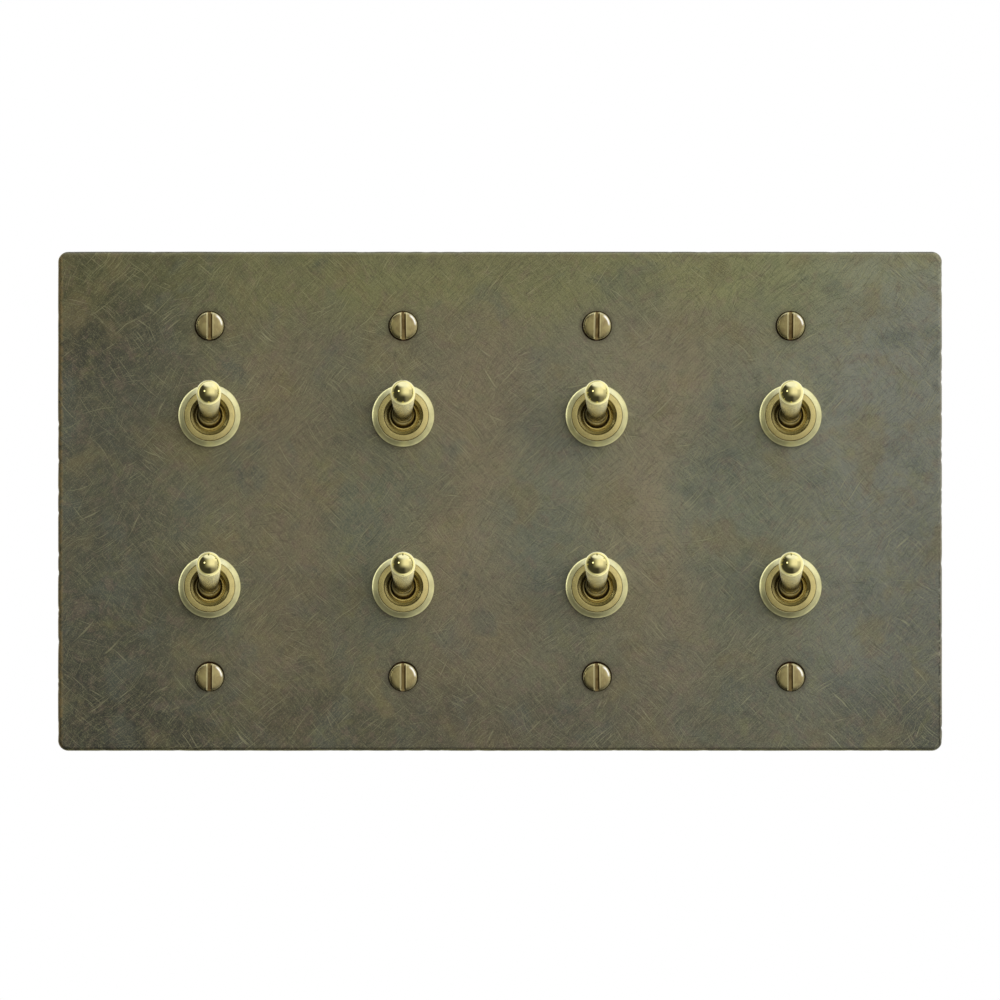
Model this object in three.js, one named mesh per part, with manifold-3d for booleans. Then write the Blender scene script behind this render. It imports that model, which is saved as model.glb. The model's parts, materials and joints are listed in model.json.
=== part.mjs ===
// Four-gang toggle wall switch: one solid brass cover plate carrying two rows of four bat-handle
// toggle switches.
// Millimetres, right-handed, +Z up. The origin is the centre of the plate's back face, which lies
// on the wall. +X runs to the right along the plate, -Y points out of the wall towards the user,
// +Y points into the wall box.
import * as THREE from "three";
import { mergeVertices } from "three/addons/utils/BufferGeometryUtils.js";
import Module from "manifold-3d";

const wasm = await Module();
wasm.setup();

const { degToRad } = THREE.MathUtils;

// ---------------------------------------------------------------- shared dimensions
const PLATE_T = 3.0;
const GANG_PITCH = 46.04; // 1 13/16 in, the standard gang pitch
const GANGS = [-1.5, -0.5, 0.5, 1.5].map((k) => k * GANG_PITCH);
const ROWS = { upper: 1, lower: -1 }; // side of the plate's middle, along Z
const SCREW_PITCH_Z = 83.34; // 3 9/32 in, the standard box-screw pitch
const TOGGLE_PITCH_Z = 40.7;
const GAP = 0.03; // between pieces that bear on each other
const POCKET_D = 1.0;
const SCREW_SINK_Y = -1.1; // small end of the countersink
const CUT = 1; // how far a cutter overshoots the face it opens

// M12 fine bushing of the toggle switch
const BUSH_R = 6.0;
const BUSH_TOP_Y = -5.6;
const PIVOT_Y = -1.05; // centre of the lever's ball

// frame that carries the switch case
const FRAME_Y = 4.5;
const FRAME_T = 1.2;
const FRAME_FOOT_Y = FRAME_Y + FRAME_T;
const CASE_W = 16;
const CASE_H = 28;

// rocking contact, a shallow V in the YZ plane
const ROCK_DEG = 20; // from one end of its throw to the other
const ROCK_V_Y = 10.75; // bottom of the V on the lever side
const ROCK_WING_DEG = 18;
const ROCK_T = 0.8;
const ROCK_APEX_Y = ROCK_V_Y + ROCK_T / Math.cos(degToRad(ROCK_WING_DEG)); // fulcrum

// facets round the turned pieces; coaxial pieces share one count and phase
const ROUND = 20;
const ROUND_LEVER = 16;
const ROUND_SCREW = 12;

// ---------------------------------------------------------------- solids
const MERGE_TOLERANCE = 1e-4;

// Welds a closed geometry into a Manifold solid, turning it right side out if need be.
function solidOf(geometry) {
  const loose = geometry.index ? geometry.toNonIndexed() : geometry.clone();
  loose.deleteAttribute("normal");
  loose.deleteAttribute("uv");
  const merged = mergeVertices(loose, MERGE_TOLERANCE);
  const index = merged.index.array;
  const outward = [];
  const flipped = [];
  for (let i = 0; i < index.length; i += 3) {
    const [a, b, c] = [index[i], index[i + 1], index[i + 2]];
    // welding collapses some triangles, as at a lathe's axis
    if (a === b || b === c || a === c) continue;
    outward.push(a, b, c);
    flipped.push(a, c, b);
  }
  const make = (triangles) =>
    new wasm.Manifold(
      new wasm.Mesh({
        numProp: 3,
        vertProperties: new Float32Array(merged.attributes.position.array),
        triVerts: new Uint32Array(triangles),
      }),
    );
  const solid = make(outward);
  return solid.volume() >= 0 ? solid : make(flipped);
}

function geometryOf(solid) {
  const { vertProperties, triVerts } = solid.getMesh();
  const geometry = new THREE.BufferGeometry();
  geometry.setAttribute(
    "position",
    new THREE.BufferAttribute(new Float32Array(vertProperties), 3),
  );
  geometry.setIndex(new THREE.BufferAttribute(new Uint32Array(triVerts), 1));
  return geometry;
}

// A solid of revolution about the Y axis from [radius, y] points. A profile that is off the axis
// closes on itself.
function turned(profile, segments, x = 0, z = 0) {
  const onAxis = profile[0][0] === 0 && profile[profile.length - 1][0] === 0;
  const closed = onAxis ? profile : [...profile, profile[0]];
  const points = closed.map(([radius, y]) => new THREE.Vector2(radius, y));
  return solidOf(new THREE.LatheGeometry(points, segments).translate(x, 0, z));
}

// The [from, to] range of a given size about a centre.
const span = (size, centre = 0) => [centre - size / 2, centre + size / 2];

// A box from its [from, to] ranges along X, Y and Z.
function box(...ranges) {
  const sizes = ranges.map(([from, to]) => to - from);
  const centre = ranges.map(([from, to]) => (from + to) / 2);
  return solidOf(new THREE.BoxGeometry(...sizes).translate(...centre));
}

function disc(radius, [y0, y1], segments, x = 0, z = 0) {
  const cylinder = new THREE.CylinderGeometry(radius, radius, y1 - y0, segments);
  return solidOf(cylinder.translate(x, (y0 + y1) / 2, z));
}

// An outline of [x, z] points with `steps` facets round each corner.
function roundedOutline(width, height, radius, steps) {
  const points = [];
  const [x, z] = [width / 2 - radius, height / 2 - radius];
  // centre of the corner arc in X and Z, start angle
  const corners = [
    [x, z, 0],
    [-x, z, 90],
    [-x, -z, 180],
    [x, -z, 270],
  ];
  for (const [centreX, centreZ, start] of corners)
    for (let i = 0; i <= steps; i++) {
      const angle = degToRad(start + (90 * i) / steps);
      points.push([centreX + radius * Math.cos(angle), centreZ + radius * Math.sin(angle)]);
    }
  return points;
}

const shapeOf = (points) => new THREE.Shape(points.map(([a, b]) => new THREE.Vector2(a, b)));

const extruded = (shape, depth) =>
  new THREE.ExtrudeGeometry(shape, { depth, bevelEnabled: false });

// A shape drawn in X and Z, extruded from y0 to y1.
function extrudedAlongY(shape, y0, y1, x = 0) {
  // the turn carries shape Y to +Z and the extrusion to -Y, so it starts from y1
  return solidOf(extruded(shape, y1 - y0).rotateX(Math.PI / 2).translate(x, y1, 0));
}

// ---------------------------------------------------------------- cover plate
const PLATE_W = 210.3;
const PLATE_H = 118.8;
const PLATE_CORNER_R = 2.5;
const PLATE_MIN_CORNER_R = 0.4;
const PLATE_CORNER_STEPS = 4;
const PLATE_EDGE_R = 0.9; // round along the front edge
const PLATE_EDGE_STEPS = 3;
const PLATE_BACK_CHAMFER = 0.15;

// shallow pockets milled in the back, one behind each gang, that hold the lock nuts
const POCKET_W = 34;
const POCKET_H = 68;
const POCKET_R = 5;
const POCKET_CORNER_STEPS = 3;

const TOGGLE_HOLE_R = 6.15;
const SINK_R = 3.6;
const SCREW_HOLE_R = 1.95;
const HOLE_CUT_Y = [-10, 5]; // clears the plate on both sides

function plateBlank() {
  const rings = [];
  const addRing = (inset, y) =>
    rings.push(
      roundedOutline(
        PLATE_W - 2 * inset,
        PLATE_H - 2 * inset,
        Math.max(PLATE_CORNER_R - inset, PLATE_MIN_CORNER_R),
        PLATE_CORNER_STEPS,
      ).map(([x, z]) => [x, y, z]),
    );
  addRing(PLATE_BACK_CHAMFER, 0);
  addRing(0, -PLATE_BACK_CHAMFER);
  for (let i = 0; i <= PLATE_EDGE_STEPS; i++) {
    const angle = degToRad((90 * i) / PLATE_EDGE_STEPS);
    addRing(
      PLATE_EDGE_R * (1 - Math.cos(angle)),
      -PLATE_T + PLATE_EDGE_R * (1 - Math.sin(angle)),
    );
  }

  // walls between the rings, then a fan over the back and the front
  const count = rings[0].length;
  const triangles = [];
  for (let k = 0; k + 1 < rings.length; k++)
    for (let i = 0; i < count; i++) {
      const a = k * count + i;
      const b = k * count + ((i + 1) % count);
      triangles.push(a, b, b + count, a, b + count, a + count);
    }
  const front = (rings.length - 1) * count;
  for (let i = 1; i + 1 < count; i++) {
    triangles.push(0, i + 1, i);
    triangles.push(front, front + i, front + i + 1);
  }
  const geometry = new THREE.BufferGeometry();
  geometry.setAttribute("position", new THREE.Float32BufferAttribute(rings.flat(2), 3));
  geometry.setIndex(triangles);
  return solidOf(geometry);
}

function coverPlate() {
  const [cutFront, cutBack] = HOLE_CUT_Y;
  const pocket = shapeOf(roundedOutline(POCKET_W, POCKET_H, POCKET_R, POCKET_CORNER_STEPS));
  // [radius, y] of the countersunk screw hole
  const sink = [
    [0, cutFront],
    [SINK_R, cutFront],
    [SINK_R, -PLATE_T],
    [SCREW_HOLE_R, SCREW_SINK_Y],
    [SCREW_HOLE_R, cutBack],
    [0, cutBack],
  ];
  let plate = plateBlank();
  for (const x of GANGS) {
    plate = plate.subtract(extrudedAlongY(pocket, -POCKET_D, cutBack, x));
    for (const side of Object.values(ROWS))
      plate = plate
        .subtract(disc(TOGGLE_HOLE_R, HOLE_CUT_Y, ROUND, x, (side * TOGGLE_PITCH_Z) / 2))
        .subtract(turned(sink, ROUND_SCREW, x, (side * SCREW_PITCH_Z) / 2));
  }
  return plate;
}

// ---------------------------------------------------------------- plate screw
// No. 6-32 raised countersunk, 1 in long
const SCREW_HEAD_R = 3.42;
const SCREW_SHANK_R = 1.75;
const SCREW_TOP_Y = -PLATE_T - 0.95;
const SCREW_END_Y = 21.5;
const SCREW_END_CHAMFER = 0.5;
const SCREW_SLOT_W = 1.3;
const SCREW_SLOT_D = 1.15;
const SLOT_CUT_L = 10; // longer than any screw head is wide

function plateScrew() {
  // [radius, y] from the crown of the head to the end of the shank
  const profile = [
    [0, SCREW_TOP_Y],
    [2.3, SCREW_TOP_Y + 0.12],
    [3.1, SCREW_TOP_Y + 0.42],
    [SCREW_HEAD_R, SCREW_TOP_Y + 0.85],
    [SCREW_HEAD_R, -PLATE_T + 0.06],
    [SCREW_SHANK_R, SCREW_SINK_Y - 0.02],
    [SCREW_SHANK_R, SCREW_END_Y - SCREW_END_CHAMFER],
    [SCREW_SHANK_R - SCREW_END_CHAMFER, SCREW_END_Y],
    [0, SCREW_END_Y],
  ];
  const slotY = [SCREW_TOP_Y - CUT, SCREW_TOP_Y + SCREW_SLOT_D];
  return turned(profile, ROUND_SCREW).subtract(box(span(SCREW_SLOT_W), slotY, span(SLOT_CUT_L)));
}

// ---------------------------------------------------------------- nuts
// All switch pieces are built about the switch's own axis.
const NUT_BORE_R = 6.1;
const DRESS_NUT_R = 7.4;
const DRESS_NUT_RIM_T = 0.85; // from the plate's face to the start of the cone
const DRESS_NUT_LIP = 0.15;
const LOCK_NUT_FLATS = 14.3; // across flats
const LOCK_NUT_T = 2.2;

function dressNut() {
  // [radius, y]
  const profile = [
    [NUT_BORE_R, -PLATE_T - GAP],
    [DRESS_NUT_R, -PLATE_T - GAP],
    [DRESS_NUT_R, -PLATE_T - DRESS_NUT_RIM_T],
    [NUT_BORE_R + DRESS_NUT_LIP, BUSH_TOP_Y],
    [NUT_BORE_R, BUSH_TOP_Y + DRESS_NUT_LIP],
  ];
  return turned(profile, ROUND);
}

function lockNut() {
  const cornerR = LOCK_NUT_FLATS / 2 / Math.cos(Math.PI / 6);
  const hexagon = [];
  for (let i = 0; i < 6; i++) {
    const angle = (i * Math.PI) / 3;
    hexagon.push([cornerR * Math.cos(angle), cornerR * Math.sin(angle)]);
  }
  // the bore's points lie in phase with the turned pieces
  const bore = [];
  for (let i = 0; i < ROUND; i++) {
    const angle = (-2 * i * Math.PI) / ROUND;
    bore.push(new THREE.Vector2(NUT_BORE_R * Math.sin(angle), NUT_BORE_R * Math.cos(angle)));
  }
  const shape = shapeOf(hexagon);
  shape.holes.push(new THREE.Path(bore));
  const seatY = -POCKET_D + GAP;
  return extrudedAlongY(shape, seatY, seatY + LOCK_NUT_T);
}

// ---------------------------------------------------------------- bushing and frame
const BUSH_CHAMFER = 0.2;
const BUSH_BORE_R = 4.5; // at the mouth
const BUSH_FOOT_BORE_R = 4.6;
const SEAT_R = 3.55; // bore round the lever's ball
const SEAT_LIP_R = 3.0;
const FRAME_HOLE_R = 5.3;
const LEG_T = 0.8;
const LEG_W = 16;
const LEG_END_Y = 13.5;
const LEG_TOP_INSET = 0.1; // keeps the leg's end face off the frame's face
const LEG_X = CASE_W / 2 + 0.15; // inner face, clear of the case

function bushingFrame() {
  // [radius, y], up the outside and back down the bore
  const profile = [
    [BUSH_FOOT_BORE_R, FRAME_FOOT_Y],
    [BUSH_R, FRAME_FOOT_Y],
    [BUSH_R, BUSH_TOP_Y + BUSH_CHAMFER],
    [BUSH_R - BUSH_CHAMFER, BUSH_TOP_Y],
    [BUSH_BORE_R, BUSH_TOP_Y],
    [4.38, BUSH_TOP_Y + 1.3],
    [3.85, BUSH_TOP_Y + 2.3],
    [SEAT_LIP_R, PIVOT_Y - 1.95],
    [SEAT_R, PIVOT_Y - 0.9],
    [SEAT_R, PIVOT_Y + 0.8],
    [BUSH_FOOT_BORE_R, PIVOT_Y + 1.6],
  ];
  const top = box(span(2 * (LEG_X + LEG_T)), [FRAME_Y, FRAME_FOOT_Y], span(CASE_H));
  const hole = disc(FRAME_HOLE_R, [FRAME_Y - CUT, FRAME_FOOT_Y + CUT], ROUND);
  let made = turned(profile, ROUND).add(top.subtract(hole));
  for (const side of [-1, 1]) {
    const legX = span(LEG_T, side * (LEG_X + LEG_T / 2));
    made = made.add(box(legX, [FRAME_Y + LEG_TOP_INSET, LEG_END_Y], span(LEG_W)));
  }
  return made;
}

// ---------------------------------------------------------------- lever, about its pivot
const THROW_DEG = 32; // from one end of the throw to the other
const REST_TILT_DEG = -THROW_DEG / 2; // handle up
const BALL_R = 3.3;
const BALL_STEPS = 5;
const BAT_BASE_R = 2.15;
const BAT_TIP_R = 2.95;
const BAT_LEN = 19.66; // pivot to the centre of the rounded tip
const TAIL_R = 1.35;
const TAIL_TIP_R = 1.2;
const TAIL_TAPER_L = 2.5;
const TAIL_LEN = 11.4;

function lever() {
  const profile = [];
  // `outward` is the distance from the pivot towards the user
  const at = (radius, outward) => profile.push([radius, -outward]);

  // rounded tail tip and tail
  const tipCentre = -TAIL_LEN + TAIL_TIP_R;
  at(0, -TAIL_LEN);
  for (const angle of [45, 90].map(degToRad))
    at(TAIL_TIP_R * Math.sin(angle), tipCentre - TAIL_TIP_R * Math.cos(angle));
  at(TAIL_R, tipCentre + TAIL_TAPER_L);
  at(TAIL_R, -Math.sqrt(BALL_R ** 2 - TAIL_R ** 2));

  // ball, from the tail round to the bat
  const tailAngle = Math.PI - Math.asin(TAIL_R / BALL_R);
  const batAngle = Math.asin(BAT_BASE_R / BALL_R);
  for (let i = 1; i < BALL_STEPS; i++) {
    const angle = tailAngle + ((batAngle - tailAngle) * i) / BALL_STEPS;
    at(BALL_R * Math.sin(angle), BALL_R * Math.cos(angle));
  }

  // tapered bat and rounded handle tip
  at(BAT_BASE_R, Math.sqrt(BALL_R ** 2 - BAT_BASE_R ** 2));
  at(BAT_TIP_R, BAT_LEN);
  for (const angle of [30, 60].map(degToRad))
    at(BAT_TIP_R * Math.cos(angle), BAT_LEN + BAT_TIP_R * Math.sin(angle));
  at(0, BAT_LEN + BAT_TIP_R);
  return turned(profile, ROUND_LEVER);
}

// ---------------------------------------------------------------- switch case
const CASE_Y0 = FRAME_FOOT_Y + 0.05;
const CASE_Y1 = 19.6;
const CASE_WALL = 1.6;
const CASE_FLOOR_Y = CASE_Y1 - 2.0; // inner face of the floor
const POST_W = 4;
const POST_T = 1.2;
const POST_Y = ROCK_APEX_Y + 0.17;
const CONTACT_W = 4.4;
const CONTACT_H = 3;
const CONTACT_Y = 11.35;
const CONTACT_Z = 7.4;
const POST_ROOT = 0.5; // sunk into the floor
const TERMINAL_Z = [-9.2, 0, 9.2];
const TERMINAL_W = 7.6;
const TERMINAL_ROOT = 0.3; // sunk into the case
const TERMINAL_END_Y = CASE_Y1 + 1.0;
const TERMINAL_HEAD_R = 2.9;
const TERMINAL_HEAD_H = 2.0;
const TERMINAL_HEAD_SIDES = 8;

function switchCase() {
  const hollow = box(
    span(CASE_W - 2 * CASE_WALL),
    [CASE_Y0 - CUT, CASE_FLOOR_Y],
    span(CASE_H - 2 * CASE_WALL),
  );
  let made = box(span(CASE_W), [CASE_Y0, CASE_Y1], span(CASE_H)).subtract(hollow);
  // the common terminal's post carries the rocking contact, the others end in fixed contacts
  const rootY = CASE_FLOOR_Y + POST_ROOT;
  made = made.add(box(span(POST_W), [POST_Y, rootY], span(POST_T)));
  for (const z of [-CONTACT_Z, CONTACT_Z])
    made = made.add(box(span(CONTACT_W), [CONTACT_Y, rootY], span(CONTACT_H, z)));
  const tagY = [CASE_Y1 - TERMINAL_ROOT, TERMINAL_END_Y];
  const headY = [CASE_Y1, TERMINAL_END_Y + TERMINAL_HEAD_H];
  for (const z of TERMINAL_Z)
    made = made
      .add(box(span(TERMINAL_W), tagY, span(TERMINAL_W, z)))
      .add(disc(TERMINAL_HEAD_R, headY, TERMINAL_HEAD_SIDES, 0, z));
  return made;
}

// ---------------------------------------------------------------- rocking contact
const ROCK_REACH = 8.6;
const ROCK_W = 5;
const BUTTON_Z = 6.2; // inner end of the contact button
const BUTTON_T = 0.55;

// About its own fulcrum, level. Its two wings rise towards the lever, with a contact button under
// each end.
function rocker() {
  const slope = Math.tan(degToRad(ROCK_WING_DEG));
  const under = (z) => -z * slope;
  const over = (z) => ROCK_V_Y - ROCK_APEX_Y - z * slope;
  // [z, y] of one wing without its two points on the middle line
  const wing = [
    [ROCK_REACH, over(ROCK_REACH)],
    [ROCK_REACH, under(ROCK_REACH) + BUTTON_T],
    [BUTTON_Z, under(BUTTON_Z) + BUTTON_T],
    [BUTTON_Z, under(BUTTON_Z)],
  ];
  const mirrored = wing.map(([z, y]) => [-z, y]).reverse();
  const shape = shapeOf([[0, over(0)], ...wing, [0, 0], ...mirrored]);
  // shape X becomes +Z, shape Y stays +Y, and the extrusion runs along -X
  return solidOf(extruded(shape, ROCK_W).rotateY(-Math.PI / 2).translate(ROCK_W / 2, 0, 0));
}

// ---------------------------------------------------------------- earth terminal on the plate's back
const EARTH_W = 7;
const EARTH_H = 9;
const EARTH_END_Y = 8;
const WIRE_HOLE_R = 1.8;
const WIRE_HOLE_Y = 3.2;
const WIRE_CUT_L = 20;
const EARTH_SCREW_HOLE_R = 1.85;
const EARTH_SLOT_W = 1;
const EARTH_SLOT_Y = 9.2; // bottom of the slot

// [radius, y] from the head to the tip
const EARTH_SCREW_PROFILE = [
  [0, 10.2], [2.6, 10.2], [2.9, 9.9], [2.9, 8.2],
  [1.7, 8.2], [1.7, 5.4], [1.3, 5.1], [0, 5.1],
];

function earthBlock() {
  const wireHole = new THREE.CylinderGeometry(WIRE_HOLE_R, WIRE_HOLE_R, WIRE_CUT_L, ROUND_SCREW)
    .rotateZ(Math.PI / 2)
    .translate(0, WIRE_HOLE_Y, 0);
  return box(span(EARTH_W), [GAP, EARTH_END_Y], span(EARTH_H))
    .subtract(solidOf(wireHole))
    .subtract(disc(EARTH_SCREW_HOLE_R, [WIRE_HOLE_Y, EARTH_END_Y + CUT], ROUND_SCREW));
}

function earthScrew() {
  const slot = box(span(EARTH_SLOT_W), [EARTH_SLOT_Y, 11], span(SLOT_CUT_L));
  return turned(EARTH_SCREW_PROFILE, ROUND_SCREW).subtract(slot);
}

// ---------------------------------------------------------------- materials
const material = (name, color, { roughness, metalness = 1 }) =>
  new THREE.MeshStandardMaterial({ name, color, roughness, metalness });

const aged = material("antique_brass_plate", 0x6a6751, { roughness: 0.5 });
const screwBrass = material("aged_brass_screw", 0x9c8f62, { roughness: 0.4 });
const satin = material("satin_brass", 0xc9bf86, { roughness: 0.35 });
const polished = material("polished_brass", 0xd8cc8e, { roughness: 0.15 });
const phenolic = material("black_phenolic", 0x16130f, { roughness: 0.55, metalness: 0 });
const plated = material("plated_steel", 0xa9abac, { roughness: 0.35 });
const contactAlloy = material("contact_copper", 0xb87450, { roughness: 0.35 });

// ---------------------------------------------------------------- assembly
function piece(parent, name, geometry, finish) {
  const mesh = new THREE.Mesh(geometry, finish);
  mesh.name = name;
  parent.add(mesh);
  return mesh;
}

function groupAt(parent, x, z) {
  const group = new THREE.Group();
  group.position.set(x, 0, z);
  parent.add(group);
  return group;
}

// geometries shared by the repeated pieces
const shared = {
  screw: geometryOf(plateScrew()),
  dressNut: geometryOf(dressNut()),
  bushing: geometryOf(bushingFrame()),
  lockNut: geometryOf(lockNut()),
  case: geometryOf(switchCase()),
  lever: geometryOf(lever()),
  rocker: geometryOf(rocker()),
};

function addToggle(parent, tag, x, z) {
  const toggle = groupAt(parent, x, z);
  piece(toggle, `${tag}_dress_nut`, shared.dressNut, satin);
  piece(toggle, `${tag}_bushing_frame`, shared.bushing, satin);
  piece(toggle, `${tag}_lock_nut`, shared.lockNut, plated);
  piece(toggle, `${tag}_switch_case`, shared.case, phenolic);
  const handle = piece(toggle, `${tag}_lever`, shared.lever, polished);
  handle.position.y = PIVOT_Y;
  handle.rotation.x = degToRad(REST_TILT_DEG);
  const contact = piece(toggle, `${tag}_rocker_contact`, shared.rocker, contactAlloy);
  contact.position.y = ROCK_APEX_Y;
  contact.rotation.x = degToRad(ROCK_DEG / 2);
}

const root = new THREE.Group();
root.name = "toggle_wall_switch";
piece(root, "cover_plate", geometryOf(coverPlate()), aged);

GANGS.forEach((x, i) => {
  for (const [row, side] of Object.entries(ROWS)) {
    const tag = `${row}${i + 1}`;
    const screw = piece(root, `plate_screw_${tag}`, shared.screw, screwBrass);
    screw.position.set(x, 0, (side * SCREW_PITCH_Z) / 2);
    addToggle(root, tag, x, (side * TOGGLE_PITCH_Z) / 2);
  }
});

// the earth terminal sits midway between the third and fourth gangs
const earth = groupAt(root, GANG_PITCH, 0);
piece(earth, "earth_terminal_block", geometryOf(earthBlock()), satin);
piece(earth, "earth_terminal_screw", geometryOf(earthScrew()), plated);

export default root;
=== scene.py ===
"""An antique brass cover plate with eight toggle switches, in four gangs of an upper and a lower one.

The plate lies in X and Z, with its back at y = 0 and its front facing -Y. +X is to the right and +Z
is up. The switch cases stand behind it, towards +Y. Sizes are in millimetres and become metres
through MM; lights, camera and floor are placed in metres.
"""
import json
import random
from math import asin, atan2, copysign, cos, degrees, exp, pi, radians, sin, sqrt, tan

import bmesh
import bpy
from mathutils import Matrix, Vector
from mathutils.geometry import tessellate_polygon


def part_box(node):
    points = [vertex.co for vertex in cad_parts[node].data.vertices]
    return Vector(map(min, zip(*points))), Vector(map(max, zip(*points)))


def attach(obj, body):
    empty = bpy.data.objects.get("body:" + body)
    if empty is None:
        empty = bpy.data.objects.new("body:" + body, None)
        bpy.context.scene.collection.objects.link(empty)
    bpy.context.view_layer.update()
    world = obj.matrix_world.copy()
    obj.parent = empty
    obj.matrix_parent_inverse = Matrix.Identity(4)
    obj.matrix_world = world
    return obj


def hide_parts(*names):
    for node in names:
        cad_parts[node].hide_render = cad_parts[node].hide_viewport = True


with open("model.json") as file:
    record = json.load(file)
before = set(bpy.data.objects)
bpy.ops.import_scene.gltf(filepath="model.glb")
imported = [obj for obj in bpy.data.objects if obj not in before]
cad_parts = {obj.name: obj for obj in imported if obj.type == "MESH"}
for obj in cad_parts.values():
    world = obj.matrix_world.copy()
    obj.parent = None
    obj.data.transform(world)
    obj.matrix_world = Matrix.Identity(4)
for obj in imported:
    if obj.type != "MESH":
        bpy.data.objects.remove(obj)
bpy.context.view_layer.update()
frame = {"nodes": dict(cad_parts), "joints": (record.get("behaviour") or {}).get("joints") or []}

MM = 0.001

# ---------------------------------------------------------------- driving dimensions
GANG_PITCH = 46.04
SCREW_PITCH = 83.34     # upper to lower plate screw
TOGGLE_PITCH = 40.7     # upper to lower lever
GANGS = [k * GANG_PITCH for k in (-1.5, -0.5, 0.5, 1.5)]
plate_low, plate_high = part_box("cover_plate")
PLATE_W = (plate_high.x - plate_low.x) * 1000
PLATE_H = (plate_high.z - plate_low.z) * 1000
PLATE_T = 3.0
HALF_W, HALF_H = PLATE_W / 2, PLATE_H / 2
CORNER_R, EDGE_R = 2.5, 0.95
FACE = -PLATE_T         # the plate's front
BUSH_FRONT = -5.6       # the front of the bushings
PIVOT_Y = [j for j in frame["joints"] if j["name"] == "lever_upper1_throw"][0]["pos_m"][1] * 1000
TILT = 16.0             # of a lever from the plate's normal, in degrees
THREAD_FRONT, THREAD_BACK = -4.4, 4.4   # the thread on a bushing
CASE_BACK = 19.6
CASE_FLOOR = 17.6       # the bottom of the cavity, on which the contacts stand


# ---------------------------------------------------------------- mesh helpers
def add_object(name, data):
    item = bpy.data.objects.new(name, data)
    bpy.context.scene.collection.objects.link(item)
    return item


def smooth(mesh, sharp):
    for face in mesh.polygons:
        face.use_smooth = True
    mesh.set_sharp_from_angle(angle=radians(sharp))


def finish_mesh(name, shape, material, sharp=35.0, recalc=True, flat_y=False):
    if recalc:
        bmesh.ops.recalc_face_normals(shape, faces=shape.faces)
    mesh = bpy.data.meshes.new(name)
    shape.to_mesh(mesh)
    shape.free()
    smooth(mesh, sharp)
    if flat_y:  # broad flat faces aren't shaded by the rounding beside them
        for face in mesh.polygons:
            if abs(face.normal.y) > 0.99995:
                face.use_smooth = False
    mesh.materials.append(material)
    return mesh


def round_corners(points, steps=4):
    """A polyline of (r, y) or (r, y, fillet radius) with its marked corners rounded."""
    out = []
    for i, point in enumerate(points):
        radius = point[2] if len(point) > 2 else 0
        if not radius or i in (0, len(points) - 1):
            out.append((point[0], point[1]))
            continue
        corner = Vector(point[:2])
        back = Vector(points[i - 1][:2]) - corner
        ahead = Vector(points[i + 1][:2]) - corner
        back_length, ahead_length = back.length, ahead.length
        back.normalize()
        ahead.normalize()
        angle = back.angle(ahead)
        if angle > radians(176):
            out.append((corner.x, corner.y))
            continue
        trim = min(radius / tan(angle / 2), 0.48 * back_length, 0.48 * ahead_length)
        radius = trim * tan(angle / 2)
        centre = corner + (back + ahead).normalized() * (radius / sin(angle / 2))
        start, end = corner + back * trim - centre, corner + ahead * trim - centre
        first, last = atan2(start.y, start.x), atan2(end.y, end.x)
        while last - first > pi:
            last -= 2 * pi
        while last - first < -pi:
            last += 2 * pi
        for k in range(steps + 1):
            turn = first + (last - first) * k / steps
            out.append((centre.x + radius * cos(turn), centre.y + radius * sin(turn)))
    return out


def lathe(shape, profile, segments, closed=False, radius_at=None):
    """Turns [(r, y)] about the Y axis. A profile on the axis at both ends makes a closed body."""
    rings = []
    for r, y in profile:
        if r < 1e-6:
            rings.append([shape.verts.new((0, y * MM, 0))])
            continue
        ring = []
        for j in range(segments):
            phi = 2 * pi * j / segments
            radius = radius_at(r, y, phi) if radius_at else r
            ring.append(shape.verts.new((radius * sin(phi) * MM, y * MM, radius * cos(phi) * MM)))
        rings.append(ring)
    pairs = list(zip(rings, rings[1:]))
    if closed:
        pairs.append((rings[-1], rings[0]))
    for a, b in pairs:
        for j in range(segments):
            k = (j + 1) % segments
            if len(a) == 1:
                shape.faces.new((a[0], b[j], b[k]))
            elif len(b) == 1:
                shape.faces.new((a[j], b[0], a[k]))
            else:
                shape.faces.new((a[j], b[j], b[k], a[k]))


def thread(pitch, depth, y0, y1, radii):
    """A radius function that cuts a helical thread into the part of a profile within radii."""
    def radius_at(r, y, phi):
        if not (radii[0] < r < radii[1] and y0 < y < y1):
            return r
        t = (y / pitch - phi / (2 * pi)) % 1.0
        crest = 1 - abs(2 * t - 1)
        fade = min(1.0, (y - y0) / pitch, (y1 - y) / pitch)
        return r - depth * (1 - crest) * fade
    return radius_at


def stations(r, y0, y1, step):
    """Points (r, y) about a step apart along a straight cylinder."""
    count = max(1, int(round(abs(y1 - y0) / step)))
    return [(r, y0 + (y1 - y0) * i / count) for i in range(count + 1)]


def skin(shape, rings):
    """Joins each ring of vertices to the next with quads."""
    count = len(rings[0])
    for a, b in zip(rings, rings[1:]):
        for i in range(count):
            k = (i + 1) % count
            shape.faces.new((a[i], a[k], b[k], b[i]))


def solid(shape, rings):
    """A skin with a face over each end."""
    skin(shape, rings)
    shape.faces.new(rings[0])
    shape.faces.new(rings[-1])


def ring_at(shape, points, y):
    return [shape.verts.new((p[0] * MM, y * MM, p[1] * MM)) for p in points]


def cap(shape, loops):
    """Fills a flat outline with holes."""
    flat = [v for loop in loops for v in loop]
    outlines = [[Vector((v.co.x * 1000, v.co.z * 1000, 0)) for v in loop] for loop in loops]
    for triangle in tessellate_polygon(outlines):
        corners = [flat[i] for i in triangle]
        if len(set(corners)) == 3:
            try:
                shape.faces.new(corners)
            except ValueError:  # the tessellation may give a triangle twice
                pass


def inset(points, amounts):
    """A counter-clockwise outline with each point moved inwards by its own amount."""
    out = []
    for i, (point, amount) in enumerate(zip(points, amounts)):
        along = (Vector(points[(i + 1) % len(points)]) - Vector(points[i - 1])).normalized()
        out.append((point[0] - along.y * amount, point[1] + along.x * amount))
    return out


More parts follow.
